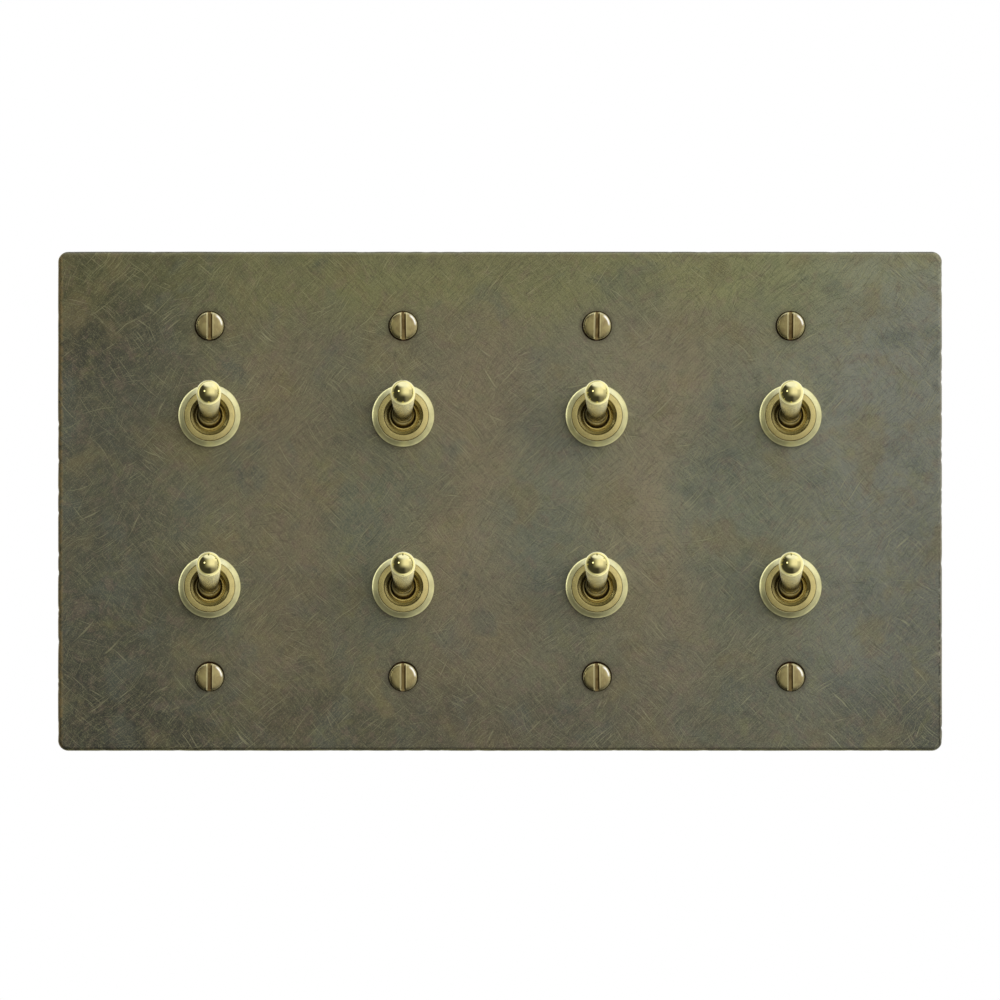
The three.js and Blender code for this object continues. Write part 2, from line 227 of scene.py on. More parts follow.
def prism(shape, outline, y0, y1, bevel, hole):
    """A flat shape in X and Z with a hole, from y0 to y1, with broken edges."""
    made = []
    for loop, side in ((outline, 1), (hole, -1)):
        area = sum(a[0] * b[1] - b[0] * a[1] for a, b in zip(loop, loop[1:] + loop[:1]))
        side = side if area > 0 else -side
        levels = ((y0, bevel), (y0 + bevel, 0), (y1 - bevel, 0), (y1, bevel))
        rings = [ring_at(shape, inset(loop, [side * amount] * len(loop)), y)
                 for y, amount in levels]
        skin(shape, rings)
        made.append(rings)
    for end in (0, -1):
        cap(shape, [rings[end] for rings in made])


def add_box(shape, *spans, bevel=0.0, segments=3):
    """A box between the (low, high) spans in X, Y and Z."""
    made = bmesh.ops.create_cube(shape, size=1.0)["verts"]
    for v in made:
        v.co = Vector([(low + high) / 2 + c * (high - low)
                       for c, (low, high) in zip(v.co, spans)]) * MM
    if bevel:
        edges = list({e for v in made for e in v.link_edges})
        bmesh.ops.bevel(shape, geom=edges, offset=bevel * MM, segments=segments, profile=0.6,
                        affect="EDGES", clamp_overlap=True)


def circle(r, count, x=0.0, z=0.0):
    turns = [2 * pi * i / count for i in range(count)]
    return [(x + r * sin(turn), z + r * cos(turn)) for turn in turns]


def corner_arcs(width, height, radius, steps, x=0.0):
    """The four corners of a rounded rectangle, counter-clockwise from +X +Z."""
    arcs = []
    for side_x, side_z, start in ((1, 1, 0), (-1, 1, 90), (-1, -1, 180), (1, -1, 270)):
        centre_x = x + side_x * (width / 2 - radius)
        centre_z = side_z * (height / 2 - radius)
        turns = [radians(start + 90 * i / steps) for i in range(steps + 1)]
        arcs.append([(centre_x + radius * cos(a), centre_z + radius * sin(a)) for a in turns])
    return arcs


def round_rect(width, height, radius, steps, x=0.0, edge=None):
    """Points of a rounded rectangle, its straight sides cut to about the given edge length."""
    arcs = corner_arcs(width, height, radius, steps, x)
    points = []
    for arc, following in zip(arcs, arcs[1:] + arcs[:1]):
        points += arc
        if edge:
            start, end = Vector(arc[-1]), Vector(following[0])
            count = max(1, int((end - start).length / edge))
            points += [tuple(start.lerp(end, i / count)) for i in range(1, count)]
    return points


def cut(mesh, cutter, name, sharp=35.0):
    """The mesh with the cutter's volume taken away."""
    tool = add_object(name + "_cutter", cutter)
    blank = add_object(name + "_tmp", mesh)
    modifier = blank.modifiers.new("cut", "BOOLEAN")
    modifier.operation, modifier.object, modifier.solver = "DIFFERENCE", tool, "EXACT"
    bpy.context.view_layer.update()
    evaluated = blank.evaluated_get(bpy.context.evaluated_depsgraph_get())
    out = bpy.data.meshes.new_from_object(evaluated)
    bpy.data.objects.remove(blank)
    out.name = name
    bpy.data.objects.remove(tool)
    smooth(out, sharp)
    return out


def box_cutter(name, material, *spans):
    shape = bmesh.new()
    add_box(shape, *spans)
    return finish_mesh(name, shape, material)


def place(name, mesh, x=0.0, y=0.0, z=0.0, turn=0.0, replaces=None, body="plate_assembly"):
    """Puts a mesh on a moving body, turned by degrees about Y."""
    item = add_object(name, mesh)
    item.location = (x * MM, y * MM, z * MM)
    item.rotation_euler = (0, radians(turn), 0)
    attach(item, body)
    if replaces:
        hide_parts(replaces)


# ---------------------------------------------------------------- shader helpers
def operator(operation):
    """A Math node as a Python operator: with the field on its left, and on its right."""
    return (lambda field, other: field.graph.math(operation, field, other),
            lambda field, other: field.graph.math(operation, other, field))


class Field:
    """A node's output. Arithmetic on it and its methods add nodes and give new fields."""
    __add__, __radd__ = operator("ADD")
    __sub__, __rsub__ = operator("SUBTRACT")
    __mul__, __rmul__ = operator("MULTIPLY")
    __truediv__ = operator("DIVIDE")[0]
    __rpow__ = operator("POWER")[1]

    def __init__(self, graph, socket):
        self.graph, self.socket = graph, socket

    def __abs__(self):
        return self.graph.math("ABSOLUTE", self)

    def sqrt(self):
        return self.graph.math("SQRT", self)

    def maximum(self, other):
        return self.graph.math("MAXIMUM", self, other)

    def ramp(self, start, end, low=0.0, high=1.0):
        """Goes smoothly from low at start to high at end."""
        return self.graph.node(
            "ShaderNodeMapRange", {0: self, 1: start, 2: end, 3: low, 4: high},
            interpolation_type="SMOOTHSTEP", clamp=True)

    def bell(self, centre, width):
        """1 at the centre, falling to 1/e at the width."""
        t = (self - centre) / width
        return 2.71828 ** (t * t * -1.0)

    def bump(self, strength, distance):
        return self.graph.node("ShaderNodeBump", {
            "Strength": strength, "Distance": distance, "Height": self})

    def vector(self, operation, *others):
        output = "Value" if operation in ("LENGTH", "DOT_PRODUCT") else 0
        inputs = dict(enumerate((self, *others)))
        return self.graph.node("ShaderNodeVectorMath", inputs, output, operation=operation)

    def scaled(self, factor):
        return self.graph.node("ShaderNodeVectorMath", {0: self, "Scale": factor},
                               operation="SCALE")

    def moved(self, loc=(0, 0, 0), rot=(0, 0, 0), scale=(1, 1, 1)):
        return self.graph.node("ShaderNodeMapping", {
            "Vector": self, "Location": loc, "Rotation": rot, "Scale": scale})

    def xyz(self):
        outputs = self.graph.raw_node("ShaderNodeSeparateXYZ", {0: self}).outputs
        return [Field(self.graph, socket) for socket in outputs]

    def noise(self, scale, detail=2.0, rough=0.5, warp=0.0, output="Fac"):
        return self.graph.node("ShaderNodeTexNoise", {
            "Vector": self, "Scale": scale, "Detail": detail, "Roughness": rough,
            "Distortion": warp}, output)

    def wander(self, source, scale, reach):
        """Points pushed about by a coloured noise read at the source points."""
        push = source.noise(scale=scale, detail=1.0, output="Color")
        return self.vector("ADD", push.vector("SUBTRACT", (0.5, 0.5, 0.5)).scaled(reach))


class Graph:
    """The node tree of a material or world."""

    def __init__(self, owner, output_kind="ShaderNodeOutputMaterial"):
        owner.use_nodes = True
        self.owner, self.tree = owner, owner.node_tree
        self.tree.nodes.clear()
        self.surface = self.tree.nodes.new(output_kind).inputs["Surface"]

    def put(self, socket, value):
        if isinstance(value, Field):
            self.tree.links.new(value.socket, socket)
        elif socket.type == "RGBA":
            socket.default_value = (*value, 1.0)
        else:
            socket.default_value = value

    def raw_node(self, kind, inputs=None, **settings):
        node = self.tree.nodes.new(kind)
        for key, value in settings.items():
            setattr(node, key, value)
        for key, value in (inputs or {}).items():
            self.put(node.inputs[key], value)
        return node

    def node(self, kind, inputs=None, output=0, **settings):
        return Field(self, self.raw_node(kind, inputs, **settings).outputs[output])

    def math(self, operation, *values):
        return self.node("ShaderNodeMath", dict(enumerate(values)), operation=operation)

    def vec(self, x, y, z):
        return self.node("ShaderNodeCombineXYZ", {0: x, 1: y, 2: z})

    def point(self):
        """Object coordinates in millimetres."""
        return self.node("ShaderNodeTexCoord", output="Object").scaled(1000.0)

    def seed(self, span):
        """A number from 0 to span that differs from object to object."""
        return self.node("ShaderNodeObjectInfo", output="Random") * span

    def ray(self):
        """The ray's length in metres, whether it is glossy, and its direction back, in X, Y, Z."""
        path = self.raw_node("ShaderNodeLightPath").outputs
        back = self.node("ShaderNodeNewGeometry", output="Incoming")
        return Field(self, path["Ray Length"]), Field(self, path["Is Glossy Ray"]), back.xyz()

    def finish(self, colour, rough, metal=1.0, normal=None, glow=None, extra=None):
        """Makes the surface. Its glow is a colour and a strength."""
        inputs = {"Base Color": colour, "Roughness": rough, "Metallic": metal, **(extra or {})}
        if normal is not None:
            inputs["Normal"] = normal
        if glow is not None:
            inputs["Emission Color"], inputs["Emission Strength"] = glow
            self.owner.cycles.emission_sampling = "NONE"  # seen by reflection rays, but no lamp
        self.put(self.surface, self.node("ShaderNodeBsdfPrincipled", inputs))
        return self.owner


def new_graph(name):
    return Graph(bpy.data.materials.new(name))


def mix(amount, a, b):
    return amount.graph.node("ShaderNodeMix", {0: amount, 6: a, 7: b}, 2,
                             data_type="RGBA", blend_type="MIX", clamp_factor=True)


def mix_value(amount, a, b):
    return amount.graph.node("ShaderNodeMix", {0: amount, 2: a, 3: b},
                             data_type="FLOAT", clamp_factor=True)


def radius_of(a, b):
    return (a * a + b * b).sqrt()


def srgb(r, g, b, gain=1.0):
    """An sRGB colour, 0 to 255, as linear light."""
    out = []
    for c in (r, g, b):
        c = c / 255
        linear = c / 12.92 if c <= 0.04045 else ((c + 0.055) / 1.055) ** 2.4
        out.append(min(0.98, gain * linear))
    return tuple(out)


def film(r, g, b):
    """A colour of the plate's patina film, lifted for the half-metallic surface it lies on."""
    return srgb(r, g, b, 1.18)


def times(colour, factor, limit=1.0):
    return tuple(min(limit, c * factor) for c in colour)


def paint(base, layers, tone=srgb):
    """Lays (mask, colour) layers over a base in turn. A colour is three sRGB numbers or a field."""
    for mask, colour in layers:
        base = mix(mask, base, colour if isinstance(colour, Field) else tone(*colour))
    return base


# ---------------------------------------------------------------- plate material
# (angle in degrees, frequency along, frequency across, noise level where a line starts)
SCRATCHES = [
    (42, 0.095, 4.1, 0.69), (50, 0.07, 3.8, 0.705), (-44, 0.095, 4.1, 0.69),
    (-54, 0.07, 3.8, 0.705), (33, 0.12, 4.3, 0.69), (-32, 0.11, 4.1, 0.70),
    (64, 0.11, 4.0, 0.71), (12, 0.09, 3.9, 0.72)]


def film_colour(x, wx, wz):
    """The broad colours of the film. wx and wz wander, so that bands have no straight borders."""
    base = mix(wx.ramp(-98, -52), film(80, 80, 67), film(107, 104, 82))
    base = mix(wx.ramp(50, 92), base, film(119, 119, 107))
    # warm bands: (x, width, amount)
    for centre, width, amount in ((-51, 10, 0.55), (-5, 12, 0.6), (40, 11, 0.62)):
        base = mix(wx.bell(centre, width) * amount, base, film(122, 108, 84))
    # cool spots: (x, z, width, amount)
    for spot_x, spot_z, width, amount in (
            (-34, -6, 11, 0.75), (10.5, -8, 11, 0.8), (57, -6, 12, 0.7)):
        base = mix(wx.bell(spot_x, width) * wz.bell(spot_z, 26) * amount, base, film(93, 98, 84))
    return paint(base, [
        (wz.ramp(32, 56) * x.ramp(92, 60, 0.3, 1.0) * 0.80, (112, 112, 76)),
        (wz.ramp(-28, -62) * 0.42, (88, 86, 72)),
        (wx.ramp(-60, -100) * wz.ramp(-10, -60) * 0.6, (66, 68, 60))], film)


def film_tone(wx, wz):
    """Lighter and darker regions of the film, each with its own place and strength."""
    tone = 1.0 + wx.bell(20, 48) * wz.bell(8, 32) * 0.33
    tone -= wx.ramp(-58, -86) * wz.ramp(16, 42) * 0.34
    tone -= wx.ramp(-60, -90) * wz.ramp(-4, -36) * 0.13
    tone -= wx.ramp(70, 98) * wz.ramp(-4, -40) * 0.20
    tone += wx.ramp(58, 92) * wz.ramp(12, 40) * 0.12
    tone -= wz.ramp(-34, -56) * 0.21
    tone += wx.ramp(20, 60) * wz.ramp(44, 58) * 0.16
    tone += wx.bell(50, 26) * 0.13
    tone += wz.ramp(40, 54) * wx.ramp(-50, -20) * 0.07
    tone -= wx.bell(-52, 30) * wz.bell(-44, 20) * 0.08
    tone += wx.bell(14, 50) * wz.ramp(40, 54) * 0.10
    tone -= wx.ramp(10, -40) * wz.ramp(-38, -54) * 0.15
    tone -= wx.ramp(84, 98) * wz.bell(-26, 24) * 0.10
    tone -= wx.ramp(-88, -100) * wz.ramp(24, 42) * 0.22
    tone += wx.bell(62, 18) * wz.ramp(2, 16) * 0.07
    tone += wx.bell(43, 11) * wz.bell(4, 18) * 0.05
    tone -= wx.bell(-58, 20) * wz.bell(-32, 18) * 0.06
    tone -= wx.bell(-30, 24) * wz.bell(-28, 15) * 0.05
    return tone


def hair_grain(point):
    """Rubbed hair lines: one direction to a patch, the other in its neighbour."""
    bent = point.wander(point, scale=0.06, reach=2.6)
    rising, falling = [
        bent.moved(rot=(0, radians(angle), 0)).moved(scale=(0.30, 0.1, 2.7))
        .noise(scale=1.6, rough=0.6, warp=0.3) for angle in (46, -47)]
    patch = point.moved(loc=(9, 0, 41)).noise(scale=0.07).ramp(0.44, 0.54)
    hair = mix_value(patch, rising, falling)
    return hair * 0.36 + point.noise(scale=3.4, rough=0.8) * 0.64


def scratch_family(point, angle, along, across, start, seed, bend):
    """Short fine lines near one direction, thinned out in patches: their cores and their flanks, the
    flanks dark as painted shade beside each line.
    """
    bent = point.wander(point.moved(loc=(seed * 3.1, 0, seed * 1.7)), scale=0.055, reach=bend)
    stretched = bent.moved(rot=(0, radians(angle), 0)).moved(
        loc=(seed * 7.3, seed, seed * 5.9), scale=(along, 0.02, across))
    lines = stretched.noise(scale=1.0, detail=0.0)
    patch = point.moved(loc=(seed * 11.0, 0, -seed * 4.0)).noise(scale=0.05, detail=1.0)
    shown = patch.ramp(0.42, 0.60)
    return lines.ramp(start, start + 0.05) * shown, lines.bell(start - 0.035, 0.03) * shown


def all_scratches(point):
    cores = flanks = None
    for i, family in enumerate(SCRATCHES):
        core, flank = scratch_family(point, *family, seed=i + 1.0, bend=7.8 if i % 2 else 4.8)
        cores = core if cores is None else cores.maximum(core)
        flanks = flank if flanks is None else flanks.maximum(flank)
    return cores, flanks


def paint_edges(base, point, x, z):
    """Golden brown at the left, yellowish below, dark along the top and notched at the right."""
    nib = point.moved(loc=(3, 0, 5)).noise(scale=0.9, detail=3.0, rough=0.6)
    nick = point.moved(loc=(17, 0, 31)).noise(scale=1.5, rough=0.7)
    left = (nib * 1.0 - x).ramp(HALF_W - 1.0, HALF_W)
    below = (nib * 0.7 - z).ramp(HALF_H - 0.3, HALF_H + 0.25)
    above = (nib * 1.2 + z).ramp(HALF_H - 1.0, HALF_H + 0.2)
    right = (nib * 0.8 + x).ramp(HALF_W - 0.4, HALF_W + 0.3)
    notch = (x + nib * 0.4).bell(HALF_W - 0.45, 0.22) * nick.ramp(0.44, 0.52)
    return paint(base, [
        (left * nib.ramp(0.35, 0.6, 0.20, 0.70), (142, 122, 82)),
        (below * nib.ramp(0.38, 0.6, 0.30, 0.75), (142, 138, 96)),
        (above * 0.30, (112, 106, 70)),
        (right * 0.30, (118, 112, 84)),
        (left.maximum(below) * nib.ramp(0.38, 0.28), (52, 47, 34)),
        (z.ramp(HALF_H - 0.50, HALF_H - 0.15) * 0.75, (48, 45, 33)),
        (abs(x).ramp(HALF_W - 0.25, HALF_W - 0.08) * 0.40, (48, 44, 32)),
        (notch * z.ramp(10, -36, 0.35, 0.9), (40, 38, 30))], film)


def plate_glow(graph, y):
    """A painted reflection: to reflection rays only, the plate glows as a pale surround for the
    polished pieces near it, darker to the lower left.
    """
    ray_length, glossy, (back_x, _, back_z) = graph.ray()
    flat_length = (back_x * back_x + back_z * back_z + 1e-5).sqrt()
    low_left = (back_x * 0.669 + back_z * 0.743) / flat_length
    up_left = (back_x * 0.5 + back_z * -0.866) / flat_length
    near = 0.20 + up_left.ramp(-0.1, 0.8) * 0.52
    near = near * (1.0 - low_left.ramp(0.62, 0.97) * 0.8)
    far = back_x.ramp(-0.40, 0.40, 1.06, 0.52)
    painted_glow = mix_value(ray_length.ramp(0.002, 0.006), near, far)
    flank = (up_left * flat_length).ramp(0.15, 0.50) * back_x.ramp(0.10, 0.45)
    painted_glow += flank * ray_length.ramp(0.030, 0.016) * 1.05
    painted_glow *= ray_length.ramp(0.070, 0.035) * ray_length.ramp(0.001, 0.002)
    return painted_glow * glossy * y.ramp(FACE + 0.3, FACE + 0.1)


def plate_material():
    graph = new_graph("antique_brass_plate")
    point = graph.point()
    x, y, z = point.xyz()
    wx = x + (point.noise(scale=0.035) - 0.5) * 34.0
    wz = z + (point.moved(loc=(50, 0, 20)).noise(scale=0.035) - 0.5) * 34.0
    base = film_colour(x, wx, wz).scaled(film_tone(wx, wz))

    # mottling, from broad to fine
    broad = point.moved(loc=(11, 0, 3)).noise(scale=0.085, detail=3.0, rough=0.55, warp=0.4)
    middle = point.moved(loc=(-31, 0, 13)).noise(scale=0.17, detail=4.0, rough=0.6, warp=0.6)
    small = point.moved(loc=(71, 0, 37)).noise(scale=0.30, detail=4.0, rough=0.65, warp=0.5)
    fine = point.moved(loc=(7, 0, -23)).noise(scale=0.9, detail=4.0, rough=0.65)
    grain = hair_grain(point)
    cores, flanks = all_scratches(point)
    base = paint(base, [
        (broad.ramp(0.52, 0.70) * 0.54, (121, 109, 76)),
        (broad.ramp(0.47, 0.30) * 0.50, (88, 94, 86)),
        (middle.ramp(0.54, 0.74) * 0.34, (124, 121, 76)),
        (middle.ramp(0.45, 0.27) * 0.26, (76, 74, 68)),
        (small.ramp(0.50, 0.68) * 0.40, (122, 103, 90)),
        (small.ramp(0.47, 0.32) * 0.26, (104, 110, 80)),
        (fine.ramp(0.35, 0.68) * 0.12, (128, 124, 100)),
        (grain.ramp(0.49, 0.64) * 0.47, (148, 143, 108)),
        (grain.ramp(0.50, 0.36) * 0.42, (57, 57, 50)),
        # painted shade beside the scratches
        (flanks * 0.45, (58, 56, 46)),
        (cores * 0.42, (158, 154, 118))], film)
    # the film thins to a cooler grey on the right
    green = wx.ramp(0, 80, 1.01, 1.05)
    blue = wx.ramp(-50, 60, 1.04, 1.15) * wz.ramp(40, 56, 1.0, 0.90)
    base = base.vector("MULTIPLY", graph.vec(1.0, green, blue))
    base = paint_edges(base, point, x, z)

    from_middle_x, from_middle_z = abs(x), abs(z)

    def within(outer, inner):
        """Fades in from the first distance inside the rim to the second."""
        return (from_middle_x.ramp(HALF_W - outer, HALF_W - inner)
                * from_middle_z.ramp(HALF_H - outer, HALF_H - inner))

    # painted shade: darkening in a narrow ring round each plate screw
    screw_x = graph.math("PINGPONG", x - GANG_PITCH / 2, GANG_PITCH / 2)
    ring = radius_of(screw_x, from_middle_z - SCREW_PITCH / 2)
    # inside the countersinks and the toggle holes the plate is dark brown
    inside = y.ramp(FACE + 0.03, FACE + 0.22) * within(2.0, 4.0)
    # the back is unpolished sheet, brown with oxide and streaked by rolling
    roll = point.moved(scale=(0.12, 1.0, 1.8)).noise(scale=1.0, detail=3.0, rough=0.6)
    rear = mix(broad.ramp(0.35, 0.65), srgb(112, 92, 58), srgb(84, 68, 44))
    rear = paint(rear, [(middle.ramp(0.50, 0.70) * 0.5, (74, 62, 46)),
                        (roll.ramp(0.45, 0.65) * 0.35, (134, 112, 72))])
    base = paint(base, [
        # painted shade round each plate screw
        (ring.ramp(4.8, 3.7) * middle.ramp(0.3, 0.6, 0.18, 0.36), (58, 50, 36)),
        (inside * 0.9, mix(fine.ramp(0.4, 0.6), film(92, 52, 30), film(60, 38, 22))),
        (y.ramp(-1.25, -0.95) * within(0.1, 0.6), rear)], film)

    rough = mix_value(middle.ramp(0.3, 0.7), 0.50, 0.42) - cores * 0.06
    height = cores * -1.3 + (grain * 0.60 + fine * 0.30)
    return graph.finish(base, rough, metal=0.5, normal=height.bump(strength=0.55, distance=0.00006),
                        glow=((0.97, 1.0, 0.93), plate_glow(graph, y)))


# ---------------------------------------------------------------- other materials
def turned_brass(name, face, rough, ring, aniso, metal, strength, painted_glow, recess=None):
    """Brass turned in a lathe: fine concentric marks about the piece's own Y axis.

    ring is the marks' frequency, strength their depth, and the argument after strength a painted
    glow, seen only by reflection rays.
    recess gives painted shade inside, lighter to the lower right as painted light: its depth, radius,
    colour, the amount of painted shade and the painted glow.
    """
    graph = new_graph(name)
    point = graph.point()
    x, y, z = point.xyz()
    r = radius_of(x, z)
    seed = graph.seed(40.0)
    marks = graph.vec(r * ring + seed, y * (ring * 0.6), 0.0).noise(
        scale=1.0, detail=3.0, rough=0.7)
    cloud = point.vector("ADD", graph.vec(seed, seed, 0.0)).noise(
        scale=0.55, detail=3.0, rough=0.55)
    colour = mix(cloud.ramp(0.35, 0.68), face, times(face, 0.86))
    colour = mix(marks.ramp(0.42, 0.62) * 0.22, colour, times(face, 1.16))
    level = painted_glow
    if recess:
        # painted shade darkens the recess, lighter towards the lower right and darker to the upper
        # left as painted light
        deep = y.ramp(*recess["depth"]) * r.ramp(recess["radius"], recess["radius"] - 0.35)
        recess_shade_and_light = mix((x * 0.75 - z * 0.66).ramp(-2.4, 2.4), times(recess["colour"], 0.30),
                      times(recess["colour"], 1.45, limit=0.98))
        colour = mix(deep * recess["painted_shade"], colour, recess_shade_and_light)
        level = mix_value(y.ramp(BUSH_FRONT + 0.25, BUSH_FRONT + 1.6), painted_glow, recess["painted_glow"])
    rough = rough + ((marks - 0.5) * 0.16 + (cloud - 0.5) * 0.12)
    # painted reflection: the piece glows to reflection rays, so that for the handle standing over it,
    # it is as bright as the light it stands in
    ray_length, glossy, (back_x, _, _) = graph.ray()
    level = level * back_x.ramp(-0.35, 0.35, 1.25, 0.30)
    away = back_x.ramp(-0.40, 0.40, 1.06, 0.52) * ray_length.ramp(0.070, 0.035)
    level = mix_value(ray_length.ramp(0.026, 0.034), level, away)
    glow = level * glossy * ray_length.ramp(0.004, 0.009)
    tangent = graph.node("ShaderNodeTangent", direction_type="RADIAL", axis="Y")
    return graph.finish(
        colour, rough, metal, marks.bump(strength=strength, distance=0.00002),
        glow=((1.0, 0.97, 0.80), glow),
        extra={"Anisotropic": aniso, "Tangent": tangent, "Anisotropic Rotation": 0.25})


def lever_material():
    """A polished dome on a satin bat. Points are first turned back to the bat's axis."""
    graph = new_graph("lever_polished_brass")
    point = graph.point()
    axis_x, axis_y, axis_z = point.moved(rot=(radians(TILT), 0, 0)).xyz()
    seed = graph.seed(40.0)
    along = axis_y * -1.0
    dome = along.ramp(17.6, 20.2)
    marks = graph.vec(axis_y * 2.4, seed, 0.0).noise(scale=1.0, detail=1.0)
    cloud = point.vector("ADD", graph.vec(seed, 0.0, seed)).noise(scale=0.35, detail=3.0)
    ball = point.vector("LENGTH").ramp(3.45, 3.32)
    x, _, z = point.xyz()
    lit = (x * 0.75 - z * 0.66).ramp(-2.4, 2.4)
    r = radius_of(axis_x, axis_z)
    low = z.ramp(0.8, -0.4)
    colour = mix(cloud.ramp(0.35, 0.7), srgb(230, 226, 178), srgb(218, 212, 160))
    colour = paint(colour, [
        # painted shade: the bat darker towards its base
        (along.ramp(11.5, 4.2), (142, 132, 82)),
        # the ball, lighter and darker by side as painted light; then, where the bat meets it, painted
        # shadow round its lower rim, a painted highlight ring, a painted shadow line and a painted
        # highlight crescent under the bat
        (ball * 0.75, mix(lit, srgb(178, 162, 104), srgb(140, 124, 78))),
        (ball * low * (r.ramp(2.78, 2.90) * 0.40), (90, 66, 42)),
        (ball * r.bell(2.58, 0.15) * 0.85, (226, 218, 172)),
        (ball * low * (r.bell(2.36, 0.10) * 0.55), (92, 84, 46)),
        (r.bell(2.20, 0.07) * along.ramp(3.3, 2.8) * (low * 0.9), (246, 242, 214)),
        (dome, (232, 221, 157)),
        (marks.ramp(0.55, 0.7) * ((1.0 - dome) * 0.05), (246, 240, 206))])
    rough = mix_value(dome, 0.21 + (cloud - 0.5) * 0.14, 0.055 + (cloud - 0.4) * 0.05)
    height = marks * (1.0 - dome) + cloud * 0.6
    # a duller band on the left of the ball
    band = ball * (r.bell(2.58, 0.17) * x.ramp(1.6, -0.4))
    return graph.finish(colour, mix_value(band, rough, 0.42),
                        metal=mix_value(band, mix_value(dome, 0.80, 1.0), 0.35),
                        normal=height.bump(strength=0.03, distance=0.00003))


def screw_material():
    graph = new_graph("aged_brass_screw")
    point = graph.point()
    x, y, z = point.xyz()
    r = radius_of(x, z)
    seed = graph.seed(60.0)
    own = point.vector("ADD", graph.vec(seed, 0.0, seed))
    cloud = own.noise(scale=0.45, detail=3.0, rough=0.55, warp=0.5)
    fine = own.moved(rot=(0, 0.7, 0), scale=(3.0, 1, 0.5)).noise(
        scale=1.6, detail=3.0, rough=0.65)
    rim = r.ramp(2.7, 3.1)
    # the slot's edges: a painted highlight on the left, painted shade on the right
    slot_edge_light_shade = x.ramp(-0.84, -0.78) * x.ramp(0.65, 0.59) * y.ramp(FACE - 0.35, FACE - 0.6)
    colour = mix(cloud.ramp(0.34, 0.68), srgb(180, 167, 118), srgb(154, 138, 98))
    colour = paint(colour, [
        (fine.ramp(0.5, 0.72) * 0.35, (204, 196, 146)),
        # painted highlight: a lighter rim
        (rim * 0.35, (208, 200, 156)),
        # painted highlight and painted shade on the slot's edges
        (slot_edge_light_shade * 0.85, mix(x.ramp(-0.2, 0.2), srgb(228, 218, 168), srgb(74, 52, 34))),
        # painted highlight: a pale line right of the slot
        (x.bell(0.76, 0.12) * 0.45, (226, 216, 166)),
        # painted shade on the rim's lower left
        (r.ramp(3.08, 3.24) * (x + z * 0.9).ramp(-2.4, 1.6, 0.90, 0.0), (72, 58, 38))])
    # a painted highlight on the rim, to the upper right
    painted_rim_highlight = r.bell(2.88, 0.20) * ((x * 0.857 + z * 0.515) / (r + 0.01)).ramp(0.84, 0.97)
    painted_rim_highlight = painted_rim_highlight * y.ramp(FACE - 0.2, FACE - 0.35)
    colour = mix(painted_rim_highlight, colour, (1.0, 0.99, 0.93))
    slot = x.ramp(-0.46, -0.40) * x.ramp(0.36, 0.31) * y.ramp(FACE - 0.60, FACE - 0.2)
    colour = paint(colour, [
        (slot * 0.80, mix(cloud.ramp(0.4, 0.6), srgb(190, 166, 110), srgb(146, 120, 76))),
        (y.ramp(FACE - 0.15, FACE + 0.4) * 0.85, (60, 40, 22)),     # below the plate's face
        (y.ramp(-1.6, -0.6), (176, 160, 104))])                     # the shank
    rough = mix_value((rim * 0.6).maximum(painted_rim_highlight), 0.34, 0.18) + (fine - 0.5) * 0.14
    return graph.finish(colour, rough, metal=0.95,
                        normal=(fine + cloud * 0.7).bump(strength=0.16, distance=0.00004))


def plated_metal(name, tone, rough):
    graph = new_graph(name)
    point = graph.point()
    seed = graph.seed(30.0)
    own = point.vector("ADD", graph.vec(seed, seed, 0.0))
    cloud = own.noise(scale=0.35, detail=3.0, rough=0.55)
    streak = own.moved(scale=(0.6, 0.6, 6.0)).noise(scale=1.4, detail=3.0, rough=0.6)
    colour = mix(cloud.ramp(0.35, 0.7), srgb(*tone), srgb(*(c * 0.84 for c in tone)))
    colour = paint(colour, [
        (streak.ramp(0.55, 0.75) * 0.3, times(tone, 1.12, limit=250))])
    return graph.finish(colour, rough + (streak - 0.5) * 0.22, metal=1.0,
                        normal=streak.bump(strength=0.18, distance=0.00003))


def phenolic_material():
    graph = new_graph("black_moulded_phenolic")
    point = graph.point()
    seed = graph.seed(30.0)
    own = point.vector("ADD", graph.vec(seed, 0.0, seed))
    flow = own.noise(scale=0.25, detail=4.0, rough=0.6, warp=1.0)
    speck = own.noise(scale=5.5, rough=0.6)
    colour = mix(flow.ramp(0.35, 0.7), (0.012, 0.011, 0.010), (0.034, 0.027, 0.021))
    colour = mix(speck.ramp(0.62, 0.75) * 0.5, colour, (0.075, 0.055, 0.036))
    return graph.finish(colour, 0.40 + (flow - 0.5) * 0.3, metal=0.0,
                        normal=(speck + flow * 2.0).bump(strength=0.25, distance=0.00006),
                        extra={"Specular IOR Level": 0.5})


def floor_material():
    graph = new_graph("pale_studio_floor")
    point = graph.node("ShaderNodeTexCoord", output="Object")
    colour = mix(point.noise(scale=1.2, detail=3.0), (0.80, 0.80, 0.79), (0.86, 0.86, 0.85))
    return graph.finish(colour, rough=0.65, metal=0.0)


PLATE_BRASS = plate_material()
NUT_BRASS = turned_brass("satin_brass_nut", srgb(224, 218, 167), rough=0.38, ring=8.0,
                         aniso=0.30, metal=0.9, strength=0.15, painted_glow=0.45)
BUSH_BRASS = turned_brass(
    "satin_brass_bushing", srgb(208, 193, 132), rough=0.25, ring=11.0,
    aniso=0.65, metal=0.95, strength=0.3, painted_glow=0.38,
    recess={"depth": (BUSH_FRONT + 0.15, BUSH_FRONT + 1.0), "radius": 4.9,
            "colour": srgb(214, 196, 130), "painted_shade": 0.9, "painted_glow": 0.14})
LEVER_BRASS = lever_material()
SCREW_BRASS = screw_material()
STEEL = plated_metal("bright_plated_steel", (186, 188, 190), rough=0.30)
ZINC = plated_metal("yellow_zinc_frame", (196, 176, 116), rough=0.36)
GREEN_ZINC = plated_metal("green_dyed_zinc", (54, 124, 74), rough=0.34)
